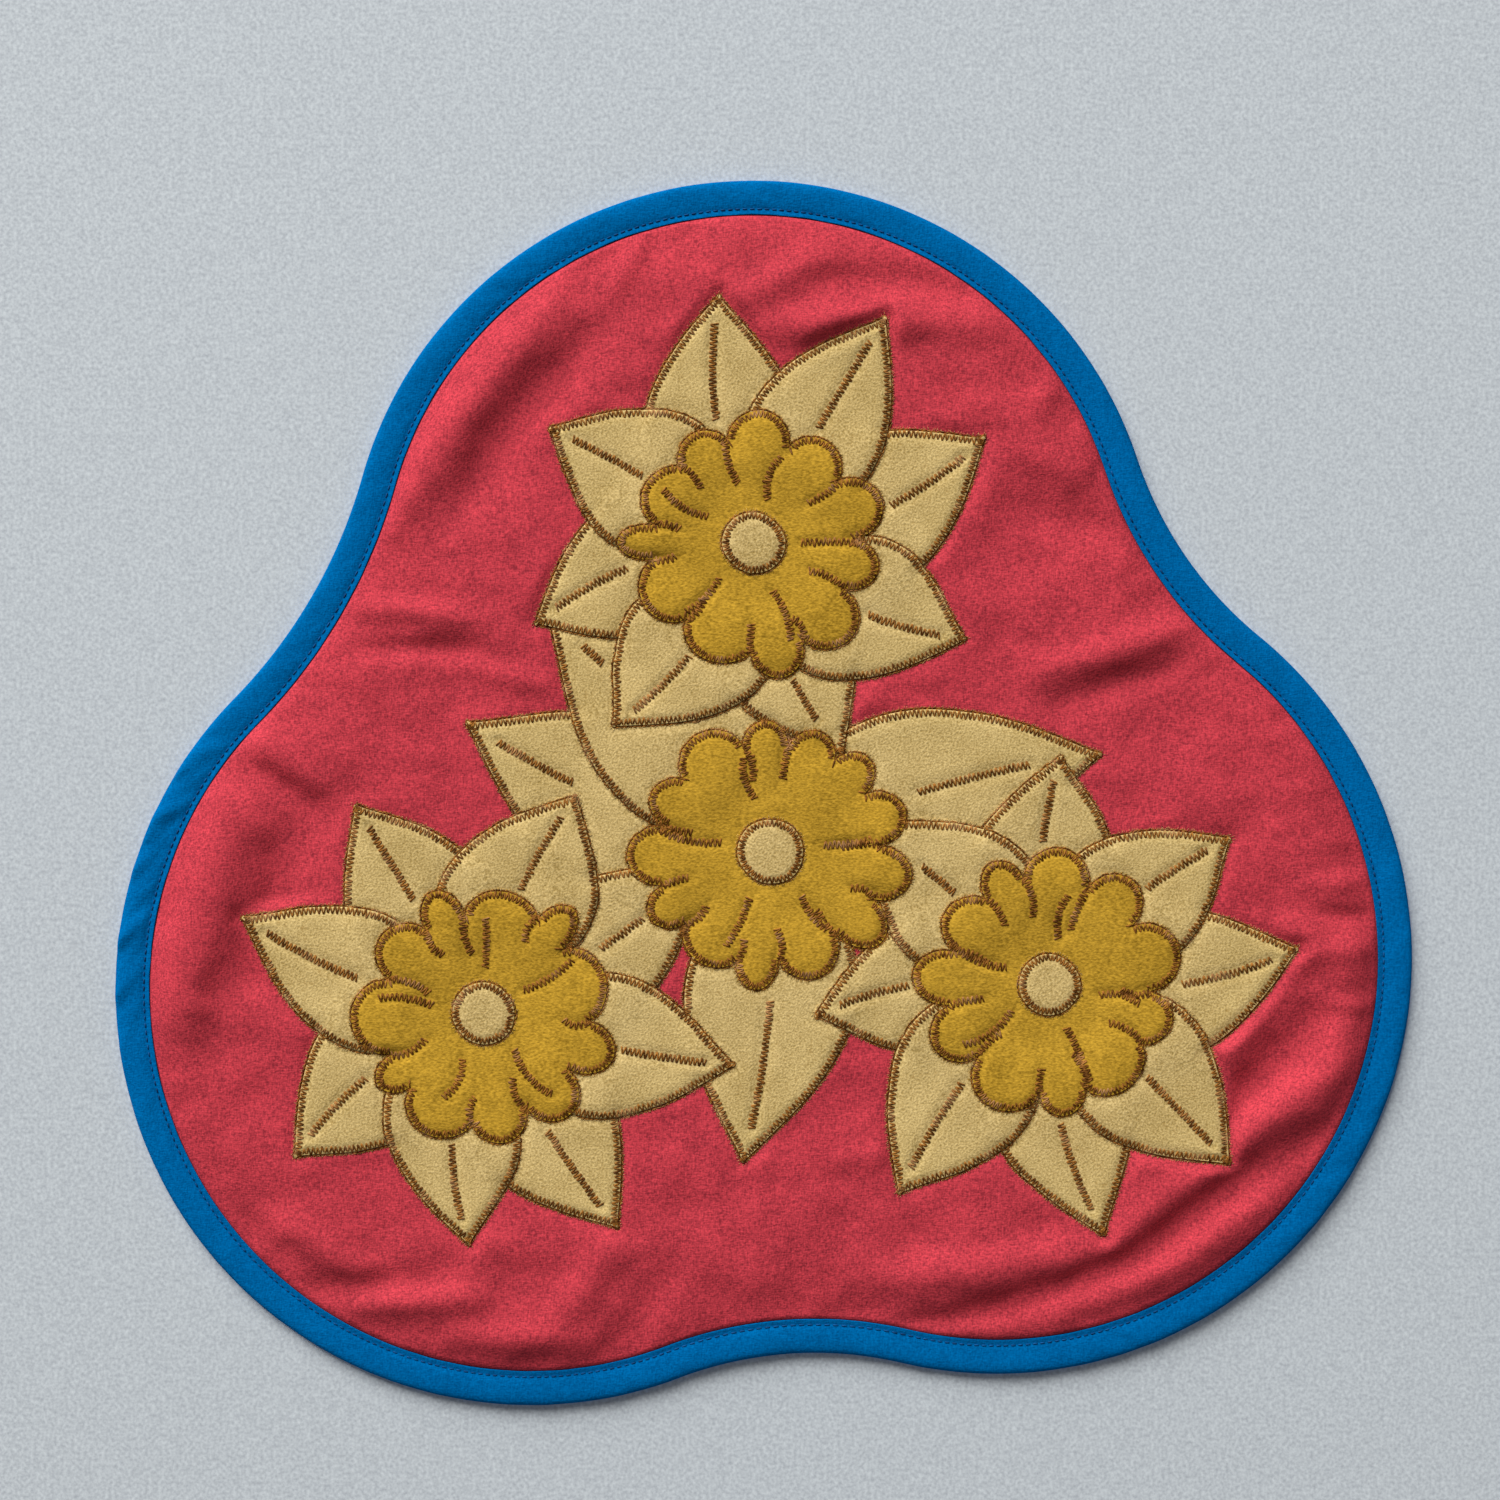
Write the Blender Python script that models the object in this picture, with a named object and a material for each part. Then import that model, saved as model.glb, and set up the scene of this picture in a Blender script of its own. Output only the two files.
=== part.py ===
"""A small wall quilt: three round lobes, a bound edge, and blossoms applied in felted cloth.

Units are metres and +Z is up. The front faces -Y and the back lies on the plane y = 0, which is
the wall's. The origin is the top of the top lobe, where the quilt is held. Every piece is drawn
from the quilt's middle, and an empty there carries it to its place.
"""
import math
import random
from collections import namedtuple

import bmesh
import bpy
import numpy as np

MM = 0.001
GAP = 0.3 * MM

# The outline is three lobes, joined by hollow waists that run from each lobe to the next.
Lobe = namedtuple("Lobe", "x z radius")
LOBES = (
    Lobe(-4.4 * MM, 97.2 * MM, 143.8 * MM),
    Lobe(-82.9 * MM, -45.9 * MM, 147.5 * MM),
    Lobe(82.0 * MM, -34.8 * MM, 147.5 * MM),
)
WAIST_RADII = (183.5 * MM, 134.9 * MM, 137.2 * MM)

# The binding is a folded strip. It shows 13 mm wide at the front and wraps the edge to the back.
BINDING_WIDTH = 13.1 * MM
BINDING_CLOTH = 0.8 * MM
BINDING_STATIONS = 120
BINDING_SHARP = math.radians(50)

# The panel is cloth, wadding and backing. Its edge is pressed flat inside the binding.
PANEL_BACK = BINDING_CLOTH + GAP
PANEL_EDGE_FRONT = 4.4 * MM
PANEL_FRONT = 5.2 * MM
PANEL_EDGE_INSET = BINDING_CLOTH + GAP + 0.1 * MM
PANEL_FIELD_INSET = BINDING_WIDTH + 0.5 * MM
PANEL_RINGS = 20
PANEL_SHARP = math.radians(40)

# The binding's section, from its edge on the wall round the outside to its lip on the panel,
# and back through the channel that holds the panel's edge.
SectionPoint = namedtuple("SectionPoint", "inset depth")
CHANNEL_FRONT = PANEL_EDGE_FRONT + GAP
BINDING_SECTION = (
    SectionPoint(BINDING_WIDTH, 0.0),
    SectionPoint(1.2 * MM, 0.0),
    SectionPoint(0.2 * MM, 1.0 * MM),
    SectionPoint(0.0, 3.0 * MM),
    SectionPoint(0.6 * MM, 4.9 * MM),
    SectionPoint(3.2 * MM, 6.0 * MM),
    SectionPoint(7.0 * MM, 6.3 * MM),
    SectionPoint(10.2 * MM, 5.8 * MM),
    SectionPoint(11.3 * MM, 5.3 * MM),
    SectionPoint(12.3 * MM, 5.7 * MM),
    SectionPoint(BINDING_WIDTH, 5.2 * MM),
    SectionPoint(BINDING_WIDTH, CHANNEL_FRONT),
    SectionPoint(BINDING_CLOTH, CHANNEL_FRONT),
    SectionPoint(BINDING_CLOTH, BINDING_CLOTH),
    SectionPoint(BINDING_WIDTH, BINDING_CLOTH),
)

# Folds in the panel: a straight run from one end to the other, bowed sideways in its middle.
# A ridge has a height above 0 and a trough one below 0.
Fold = namedtuple("Fold", "x0 z0 x1 z1 bow width height")
FOLDS_MM = (
    Fold(-58, 212, -124, 112, 6, 10, -2.2),
    Fold(-76, 206, -146, 104, 6, 10, 1.6),
    Fold(-70, 188, 72, 206, 14, 12, 1.5),
    Fold(58, 178, 104, 118, -5, 11, -1.7),
    Fold(84, 190, 122, 112, -6, 10, 1.5),
    Fold(84, 80, 146, 56, 3, 10, 1.5),
    Fold(88, 62, 150, 38, 3, 10, -1.5),
    Fold(-126, 84, -72, 66, 4, 10, -1.4),
    Fold(-158, 2, -204, -58, 4, 11, 1.7),
    Fold(-176, 10, -212, -34, 4, 10, -1.5),
    Fold(-186, -96, -132, -158, 10, 12, 1.6),
    Fold(-160, -138, -52, -172, 8, 11, -1.9),
    Fold(-60, -128, 6, -150, 6, 11, 1.4),
    Fold(208, -4, 150, -66, -6, 11, 2.0),
    Fold(214, -30, 180, -48, 2, 10, -1.6),
    Fold(206, -78, 138, -134, -6, 12, -2.1),
    Fold(190, -58, 150, -104, -4, 10, 1.5),
    Fold(130, -140, 46, -160, 8, 11, -1.9),
    Fold(96, -120, 34, -146, 6, 11, 1.7),
)

# Applied pieces lie flat, so the folds fade out beside them.
FLAT_MARGIN = 8.0 * MM
FOLD_FADE = 10.0 * MM

# The blossoms. Each head lies over its petals, and the outer blossoms lie over the middle one.
Bloom = namedtuple("Bloom", "name x z head reach half_width petals scallops turn seed level")
BLOOMS = (
    Bloom("middle", 2 * MM, 3 * MM, 47 * MM, 118 * MM, 30 * MM, 10, 13, 20, 6, 0),
    Bloom("upper", -4 * MM, 112 * MM, 45 * MM, 88 * MM, 26 * MM, 8, 11, 14, 5, 2),
    Bloom("left", -99 * MM, -54 * MM, 45 * MM, 89 * MM, 26 * MM, 8, 11, 31, 8, 2),
    Bloom("right", 100 * MM, -44 * MM, 45 * MM, 88 * MM, 26 * MM, 8, 11, 2, 13, 2),
)

# Felt thickens from one level to the next, so that the pieces on top stand proud.
HEAD_LEVEL = 4
LEVEL_STEP = 0.35 * MM
FELT = 1.0 * MM
APPLIED_BACK = PANEL_FRONT + GAP
EYE_BACK = APPLIED_BACK + FELT + LEVEL_STEP * HEAD_LEVEL + GAP
EYE_THICKNESS = 0.9 * MM
EYE_SHARE = 0.24
EYE_POINTS = 16

# A petal's half width follows u ** RISE * (1 - u) ** FALL, from a root hidden under the head.
PETAL_ROOT = 0.55
PETAL_RISE = 0.85
PETAL_FALL = 1.15
PETAL_ROOT_SHARE = 0.25
PETAL_STEPS = 11
PETAL_BEND_FROM = 0.35

# Petals differ by chance within these limits: degrees, shares of their size, and radians.
TURN_SPREAD = (-3.0, 3.0)
REACH_SPREAD = (0.9, 1.06)
WIDTH_SPREAD = (0.92, 1.06)
BEND_SPREAD = (-0.3, 0.3)

# A petal is left out if its tip is this far inside an upper blossom, as a share of its reach.
COVERED_SHARE = 0.8

# A head's scallops: how far a cut may stray, and the depth of cuts and crests, as shares.
SCALLOP_STEPS = 5
SCALLOP_POWER = 0.6
CUT_SPREAD = (-0.22, 0.22)
VALLEY_SPREAD = (0.76, 0.86)
CREST_SPREAD = (0.96, 1.08)

# A cutter reaches well behind and in front of the applied pieces.
CUTTER_BACK = 3.0 * MM
CUTTER_THICKNESS = 8.0 * MM

FELT_ROUGHNESS = 0.95
COTTON_ROUGHNESS = 0.7
BINDING_ROUGHNESS = 0.6


def clear_scene():
    """Remove whatever the scene holds."""
    for obj in list(bpy.data.objects):
        bpy.data.objects.remove(obj, do_unlink=True)


def linear(hex_colour):
    """Turn an sRGB hex colour such as "c83c4b" into linear red, green, blue and alpha."""
    values = []
    for start in (0, 2, 4):
        value = int(hex_colour[start:start + 2], 16) / 255
        values.append(value / 12.92 if value <= 0.04045 else ((value + 0.055) / 1.055) ** 2.4)
    return (*values, 1.0)


def make_material(name, hex_colour, roughness):
    """A matt cloth finish in one colour."""
    material = bpy.data.materials.new(name)
    material.use_nodes = True
    shader = material.node_tree.nodes["Principled BSDF"]
    shader.inputs["Base Color"].default_value = linear(hex_colour)
    shader.inputs["Roughness"].default_value = roughness
    shader.inputs["Metallic"].default_value = 0.0
    return material


def add_empty(name, location, parent=None):
    """An empty that carries pieces to their place."""
    empty = bpy.data.objects.new(name, None)
    empty.location = location
    empty.parent = parent
    bpy.context.scene.collection.objects.link(empty)
    return empty


def add_object(name, mesh, parent, material, collection=None):
    """Give a closed bmesh a name, a parent and a finish, with its faces turned outwards."""
    bmesh.ops.recalc_face_normals(mesh, faces=mesh.faces)
    data = bpy.data.meshes.new(name)
    mesh.to_mesh(data)
    mesh.free()
    obj = bpy.data.objects.new(name, data)
    obj.parent = parent
    if material:
        data.materials.append(material)
    (collection or bpy.context.scene.collection).objects.link(obj)
    return obj


def waist_centre(first, second, waist):
    """Centre of the circle that touches two lobes from outside, on the side away from the middle."""
    from_first = first.radius + waist
    from_second = second.radius + waist
    span_x = second.x - first.x
    span_z = second.z - first.z
    span = math.hypot(span_x, span_z)
    along = (from_first ** 2 - from_second ** 2 + span ** 2) / (2 * span)
    aside = math.sqrt(from_first ** 2 - along ** 2)
    unit_x = span_x / span
    unit_z = span_z / span
    choices = [
        (first.x + unit_x * along - unit_z * side, first.z + unit_z * along + unit_x * side)
        for side in (aside, -aside)
    ]
    return max(choices, key=lambda centre: math.hypot(*centre))


def edge_radius(theta, inset=0.0):
    """Distance from the quilt's middle to its outline, or to a line an inset inside it."""
    ray_x = math.cos(theta)
    ray_z = math.sin(theta)
    for index, waist in enumerate(WAIST_RADII):
        first = LOBES[index]
        second = LOBES[(index + 1) % len(LOBES)]
        centre_x, centre_z = waist_centre(first, second, waist)
        touches = []
        for lobe in (first, second):
            share = (lobe.radius - inset) / (lobe.radius + waist)
            touch_x = lobe.x + (centre_x - lobe.x) * share
            touch_z = lobe.z + (centre_z - lobe.z) * share
            touches.append(math.atan2(touch_z, touch_x))
        if (theta - touches[0]) % math.tau <= (touches[1] - touches[0]) % math.tau:
            along = ray_x * centre_x + ray_z * centre_z
            aside = centre_x ** 2 + centre_z ** 2 - (waist + inset) ** 2
            return along - math.sqrt(along ** 2 - aside)
    reaches = []
    for lobe in LOBES:
        along = ray_x * lobe.x + ray_z * lobe.z
        inside = along ** 2 - lobe.x ** 2 - lobe.z ** 2 + (lobe.radius - inset) ** 2
        if inside > 0:
            reaches.append(along + math.sqrt(inside))
    return max(reaches)


def edge_point(theta, inset=0.0):
    """Point of the outline in one direction from the quilt's middle."""
    radius = edge_radius(theta, inset)
    return radius * math.cos(theta), radius * math.sin(theta)


def fold_heights(points):
    """How far the folds lift each point of the panel's front, in metres."""
    heights = np.zeros(len(points))
    for fold in FOLDS_MM:
        start = np.array((fold.x0, fold.z0)) * MM
        run = np.array((fold.x1, fold.z1)) * MM - start
        length = np.linalg.norm(run)
        offset = points - start
        along = np.clip(offset @ run / length ** 2, 0, 1)
        hump = 4 * along * (1 - along)
        aside = (offset[:, 1] * run[0] - offset[:, 0] * run[1]) / length - fold.bow * MM * hump
        heights += fold.height * MM * np.sqrt(hump) * np.exp(-(aside / (fold.width * MM)) ** 2)
    return heights


def distance_outside(points, outline):
    """Distance from each point to a closed outline, and 0 for a point inside it."""
    starts = np.array(outline)
    runs = np.roll(starts, -1, axis=0) - starts
    offsets = points[:, None] - starts
    shares = np.clip((offsets * runs).sum(-1) / (runs ** 2).sum(-1), 0, 1)
    nearest = np.linalg.norm(offsets - shares[..., None] * runs, axis=-1).min(axis=1)
    above = offsets[..., 1] < 0
    crosses = above != np.roll(above, -1, axis=1)
    cross = offsets[..., 0] * runs[:, 1] - offsets[..., 1] * runs[:, 0]
    to_right = np.where(runs[:, 1] > 0, cross < 0, cross > 0)
    inside = (crosses & to_right).sum(axis=1) % 2 == 1
    return np.where(inside, 0.0, nearest)


def fade_of(points, outlines):
    """How fully the folds show at each point: 0 beside an applied piece, 1 well away from it."""
    nearest = np.min([distance_outside(points, outline) for outline in outlines], axis=0)
    share = np.clip((nearest - FLAT_MARGIN) / FOLD_FADE, 0, 1)
    return share ** 2 * (3 - 2 * share)


def ring_angle(column, row):
    """Direction of a grid point whose square ring is spread evenly round a circle."""
    ring = max(abs(column), abs(row))
    if ring == 0:
        return 0.0
    if abs(column) >= abs(row):
        quarter = 0 if column > 0 else 2
        along = row if column > 0 else -row
    else:
        quarter = 1 if row > 0 else 3
        along = -column if row > 0 else column
    return (quarter + along / (2 * ring)) * math.pi / 2


def panel_point(column, row):
    """Place of a grid point: the last ring is the panel's edge, the one before it the field's."""
    ring = max(abs(column), abs(row))
    theta = ring_angle(column, row)
    if ring == PANEL_RINGS:
        return edge_point(theta, PANEL_EDGE_INSET)
    share = ring / (PANEL_RINGS - 1)
    x, z = edge_point(theta, PANEL_FIELD_INSET)
    return x * share, z * share


def add_band(mesh, first, second):
    """Faces between two closed rings of points."""
    for index in range(len(first)):
        beside = (index + 1) % len(first)
        mesh.faces.new((first[index], first[beside], second[beside], second[index]))


def build_panel(outlines, parent, material):
    """The quilted ground: a flat back, a folded front and an edge pressed thin for the binding."""
    span = range(-PANEL_RINGS, PANEL_RINGS + 1)
    cells = [(column, row) for column in span for row in span]
    points = np.array([panel_point(column, row) for column, row in cells])
    lifts = fold_heights(points) * fade_of(points, outlines)
    mesh = bmesh.new()
    front = {}
    for cell, (x, z), lift in zip(cells, points, lifts):
        in_field = max(abs(cell[0]), abs(cell[1])) < PANEL_RINGS - 1
        depth = PANEL_FRONT + lift if in_field else PANEL_EDGE_FRONT
        front[cell] = mesh.verts.new((x, -depth, z))
    for column, row in cells:
        if column < PANEL_RINGS and row < PANEL_RINGS:
            corners = ((0, 0), (1, 0), (1, 1), (0, 1))
            mesh.faces.new([front[column + right, row + up] for right, up in corners])
    rim = [cell for cell in cells if max(abs(cell[0]), abs(cell[1])) == PANEL_RINGS]
    rim.sort(key=lambda cell: ring_angle(*cell) % math.tau)
    back = []
    for cell in rim:
        x, z = panel_point(*cell)
        back.append(mesh.verts.new((x, -PANEL_BACK, z)))
    mesh.faces.new(back)
    add_band(mesh, [front[cell] for cell in rim], back)
    panel = add_object("ground", mesh, parent, material)
    panel.data.shade_smooth()
    panel.data.set_sharp_from_angle(angle=PANEL_SHARP)
    return panel


def build_binding(parent, material):
    """The binding: its section carried once round the outline."""
    mesh = bmesh.new()
    loops = []
    for station in range(BINDING_STATIONS):
        theta = math.tau * station / BINDING_STATIONS
        loop = []
        for point in BINDING_SECTION:
            x, z = edge_point(theta, point.inset)
            loop.append(mesh.verts.new((x, -point.depth, z)))
        loops.append(loop)
    for station, loop in enumerate(loops):
        add_band(mesh, loop, loops[(station + 1) % len(loops)])
    binding = add_object("binding", mesh, parent, material)
    binding.data.shade_smooth()
    binding.data.set_sharp_from_angle(angle=BINDING_SHARP)
    return binding


def petal_outline(angle, root, reach, half_width, bend):
    """One pointed petal that curves a little to one side, from its root out and back again."""
    peak = PETAL_RISE / (PETAL_RISE + PETAL_FALL)
    widest = peak ** PETAL_RISE * (1 - peak) ** PETAL_FALL
    left = []
    right = []
    for step in range(PETAL_STEPS + 1):
        share = step / PETAL_STEPS
        u = (share + PETAL_ROOT_SHARE) / (1 + PETAL_ROOT_SHARE)
        width = half_width * u ** PETAL_RISE * (1 - u) ** PETAL_FALL / widest
        heading = angle + bend * (share - PETAL_BEND_FROM)
        along = root + (reach - root) * share
        x = along * math.cos(heading)
        z = along * math.sin(heading)
        left.append((x - width * math.sin(heading), z + width * math.cos(heading)))
        right.append((x + width * math.sin(heading), z - width * math.cos(heading)))
    return right + left[-2::-1]


def petal_outlines(bloom):
    """Outlines of all of a blossom's petals, each a little different, from the blossom's centre."""
    chance = random.Random(bloom.seed)
    outlines = []
    for index in range(bloom.petals):
        turn = bloom.turn + 360 * index / bloom.petals + chance.uniform(*TURN_SPREAD)
        angle = math.radians(turn)
        reach = bloom.reach * chance.uniform(*REACH_SPREAD)
        half_width = bloom.half_width * chance.uniform(*WIDTH_SPREAD)
        bend = chance.uniform(*BEND_SPREAD)
        outlines.append(petal_outline(angle, bloom.head * PETAL_ROOT, reach, half_width, bend))
    return outlines


def head_outline(bloom):
    """A blossom's ragged head: uneven scallops with a cut between each two."""
    chance = random.Random(bloom.seed)
    count = bloom.scallops
    cuts = [math.tau * (index + chance.uniform(*CUT_SPREAD)) / count for index in range(count)]
    depths = [chance.uniform(*VALLEY_SPREAD) for _ in cuts]
    crests = [chance.uniform(*CREST_SPREAD) for _ in cuts]
    outline = []
    for index in range(count):
        following = (index + 1) % count
        sweep = (cuts[following] - cuts[index]) % math.tau
        for step in range(SCALLOP_STEPS):
            share = step / SCALLOP_STEPS
            valley = depths[index] + (depths[following] - depths[index]) * share
            bulge = math.sin(math.pi * share) ** SCALLOP_POWER
            radius = bloom.head * (valley + (crests[index] - valley) * bulge)
            theta = cuts[index] + sweep * share
            outline.append((radius * math.cos(theta), radius * math.sin(theta)))
    return outline


def eye_outline(bloom):
    """The small round of felt in the middle of a head."""
    radius = bloom.head * EYE_SHARE
    angles = [math.tau * index / EYE_POINTS for index in range(EYE_POINTS)]
    return [(radius * math.cos(angle), radius * math.sin(angle)) for angle in angles]


def grown(outline, margin):
    """The outline with every edge moved outwards by the margin."""
    result = []
    count = len(outline)
    for index, (x, z) in enumerate(outline):
        before = outline[index - 1]
        after = outline[(index + 1) % count]
        first = math.atan2(z - before[1], x - before[0])
        second = math.atan2(after[1] - z, after[0] - x)
        turn = (second - first + math.pi) % math.tau - math.pi
        heading = first + turn / 2 - math.pi / 2
        distance = margin / math.cos(turn / 2)
        result.append((x + distance * math.cos(heading), z + distance * math.sin(heading)))
    return result


def shifted(outline, bloom):
    """A blossom's outline as it lies on the panel."""
    return [(x + bloom.x, z + bloom.z) for x, z in outline]


def is_covered(outline, bloom):
    """Whether a petal's tip lies well inside another blossom that is sewn over this one."""
    tip_x, tip_z = outline[PETAL_STEPS]
    for other in BLOOMS:
        apart = math.hypot(tip_x + bloom.x - other.x, tip_z + bloom.z - other.z)
        if other.level > bloom.level and apart < other.reach * COVERED_SHARE:
            return True
    return False


def add_prism(name, outline, back, thickness, parent, material, collection=None):
    """A flat piece cut to an outline, its back at one depth and its front nearer the viewer."""
    mesh = bmesh.new()
    back_ring = [mesh.verts.new((x, -back, z)) for x, z in outline]
    front_ring = [mesh.verts.new((x, -back - thickness, z)) for x, z in outline]
    mesh.faces.new(back_ring)
    mesh.faces.new(front_ring)
    add_band(mesh, back_ring, front_ring)
    return add_object(name, mesh, parent, material, collection)


def add_cutter_collections():
    """One collection for each level below the heads, which holds the cutters of the levels above."""
    collections = []
    outer = bpy.context.scene.collection
    for level in range(HEAD_LEVEL):
        collection = bpy.data.collections.new(f"cutters_above_{level}")
        outer.children.link(collection)
        collections.append(collection)
        outer = collection
    return collections


def add_cutter(name, outline, level, parent, collections):
    """A helper as large as a piece and its gap, which trims what lies on the levels below it."""
    if level == 0:
        return
    shape = grown(outline, GAP)
    cutter = add_prism(name, shape, CUTTER_BACK, CUTTER_THICKNESS, parent, None, collections[level - 1])
    cutter.hide_render = True
    cutter.display_type = "WIRE"


def build_applied(name, outline, level, parent, material, collections):
    """One applied piece: it stands prouder on a higher level, and is trimmed by those above."""
    thickness = FELT + LEVEL_STEP * level
    piece = add_prism(name, outline, APPLIED_BACK, thickness, parent, material)
    if level < HEAD_LEVEL:
        trim = piece.modifiers.new("trim", "BOOLEAN")
        trim.operation = "DIFFERENCE"
        trim.operand_type = "COLLECTION"
        trim.collection = collections[level]
    add_cutter(f"{name}_cutter", outline, level, parent, collections)


def build_bloom(bloom, quilt, felt, collections):
    """A blossom's petals, its head and its eye. It returns the outlines as they lie on the panel."""
    centre = add_empty(f"{bloom.name}_bloom", (bloom.x, 0.0, bloom.z), quilt)
    laid = []
    for index, outline in enumerate(petal_outlines(bloom)):
        if not is_covered(outline, bloom):
            level = bloom.level + index % 2
            name = f"{bloom.name}_petal_{index + 1}"
            build_applied(name, outline, level, centre, felt["petal"], collections)
            laid.append(shifted(outline, bloom))
    head = head_outline(bloom)
    build_applied(f"{bloom.name}_head", head, HEAD_LEVEL, centre, felt["head"], collections)
    laid.append(shifted(head, bloom))
    eye = eye_outline(bloom)
    add_prism(f"{bloom.name}_eye", eye, EYE_BACK, EYE_THICKNESS, centre, felt["petal"])
    return laid


def main():
    """Build the whole quilt, hung with its top at the origin."""
    clear_scene()
    top = LOBES[0]
    quilt = add_empty("quilt", (-top.x, 0.0, -(top.z + top.radius)))
    felt = {
        "petal": make_material("cream_felt", "cdb46e", FELT_ROUGHNESS),
        "head": make_material("gold_felt", "b8932f", FELT_ROUGHNESS),
    }
    collections = add_cutter_collections()
    outlines = []
    for bloom in BLOOMS:
        outlines += build_bloom(bloom, quilt, felt, collections)
    build_panel(outlines, quilt, make_material("red_cotton", "c83c4b", COTTON_ROUGHNESS))
    build_binding(quilt, make_material("blue_binding", "02629e", BINDING_ROUGHNESS))


main()
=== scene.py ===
"""The wall quilt's looks: cloth, felt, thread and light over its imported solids.

Lengths are millimetres unless a name says otherwise. A place on the quilt is (x, z) from its
middle, x to the viewer's right and z up, and a height is the distance from the wall towards the
viewer. One raster of heights, the relief, holds the folds, the puckers and each applied piece in
the order of sewing, and every mesh takes its surface from it.
"""
import logging
import math
import random
from collections.abc import Callable
from dataclasses import dataclass, field
from enum import Enum

import bpy
import numpy as np
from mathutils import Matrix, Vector


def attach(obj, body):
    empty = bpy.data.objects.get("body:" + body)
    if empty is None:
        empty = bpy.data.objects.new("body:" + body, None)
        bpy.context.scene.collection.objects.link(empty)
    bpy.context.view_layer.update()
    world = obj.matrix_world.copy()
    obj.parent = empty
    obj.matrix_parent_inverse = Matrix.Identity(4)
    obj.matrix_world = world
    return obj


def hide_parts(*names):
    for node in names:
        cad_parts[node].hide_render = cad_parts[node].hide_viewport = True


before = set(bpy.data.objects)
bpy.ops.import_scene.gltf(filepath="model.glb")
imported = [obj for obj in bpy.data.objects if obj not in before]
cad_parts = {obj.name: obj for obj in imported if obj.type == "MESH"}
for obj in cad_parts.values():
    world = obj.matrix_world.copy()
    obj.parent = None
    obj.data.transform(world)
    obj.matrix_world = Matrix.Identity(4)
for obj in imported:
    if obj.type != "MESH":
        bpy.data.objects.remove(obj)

LOG = logging.getLogger("wall_quilt")
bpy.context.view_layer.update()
BODY = "root"
MM = 0.001
# Cells of the lattice after which its noise repeats.
LATTICE = 256
# An edge is sewn where nothing covers the piece this far inside it.
SEWN_INSET = 0.9
# Cotton, wool and polyester all lie near this.
FIBRE_IOR = 1.5

# The row's origin is the top of the outline, on the wall. The quilt's middle lies below it.
TOP_X = -4.4
TOP_Z = 241.0


class Hold(Enum):
    """How a sheet of cloth is held."""

    HUNG = "hung"
    LAID = "laid"
    FOLDED = "folded"


class Felt(Enum):
    """The two colours of felted cloth, by their keys among the finishes."""

    CREAM = "cream_felt"
    GOLD = "gold_felt"


def linear(hex_colour: str) -> tuple[float, float, float, float]:
    """Turn an sRGB hex colour into linear red, green, blue and alpha.

    Args:
        hex_colour: Six hex digits, such as "c83c4b".

    Returns:
        Linear red, green and blue, and an alpha of 1.
    """
    values = []
    for start in (0, 2, 4):
        value = int(hex_colour[start:start + 2], 16) / 255
        values.append(value / 12.92 if value <= 0.04045 else ((value + 0.055) / 1.055) ** 2.4)
    return (values[0], values[1], values[2], 1.0)


def to_row(places: np.ndarray, heights: np.ndarray) -> np.ndarray:
    """Carry places on the quilt and their heights into the row frame.

    Args:
        places: (n, 2) of x and z from the quilt's middle.
        heights: (n,) distances from the wall.

    Returns:
        (n, 3) of metres in the row frame.
    """
    return np.column_stack((places[:, 0] - TOP_X, -heights, places[:, 1] - TOP_Z)) * MM


def add_node(
    tree: bpy.types.NodeTree, kind: str, inputs: dict | None = None, **settings: object
) -> bpy.types.Node:
    """Add a node with its settings, and fill or link its inputs.

    Args:
        tree: The material's node tree.
        kind: Blender's type name of the node.
        inputs: For each input's name or number, a value or the output socket that feeds it.
        **settings: The node's own properties.

    Returns:
        The new node.
    """
    node = tree.nodes.new(kind)
    for name, value in settings.items():
        setattr(node, name, value)
    for name, value in (inputs or {}).items():
        if isinstance(value, bpy.types.NodeSocket):
            tree.links.new(value, node.inputs[name])
        else:
            node.inputs[name].default_value = value
    return node


def new_material(name: str) -> bpy.types.Material:
    """Add an empty node material.

    Args:
        name: The material's name.

    Returns:
        The material.
    """
    material = bpy.data.materials.new(name)
    material.use_nodes = True
    material.node_tree.nodes.clear()
    return material


def grain(
    tree: bpy.types.NodeTree,
    size: tuple[float, float, float],
    detail: float = 2.0,
    turn_degrees: float = 0.0,
) -> bpy.types.NodeSocket:
    """Noise whose specks have a real size along each axis.

    Args:
        tree: The material's node tree.
        size: A speck's size along X, Y and Z, in millimetres.
        detail: Octaves of finer noise.
        turn_degrees: How far the pattern is turned in the cloth's plane.

    Returns:
        The noise value's socket, about 0.3 to 0.7.
    """
    place = add_node(tree, "ShaderNodeTexCoord")
    turned = add_node(
        tree,
        "ShaderNodeMapping",
        {
            "Vector": place.outputs["Object"],
            "Rotation": (0.0, math.radians(turn_degrees), 0.0),
            "Scale": tuple(1 / (side * MM) for side in size),
        },
    )
    noise = add_node(
        tree, "ShaderNodeTexNoise", {"Vector": turned.outputs[0], "Scale": 1.0, "Detail": detail}
    )
    return noise.outputs["Fac"]


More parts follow.
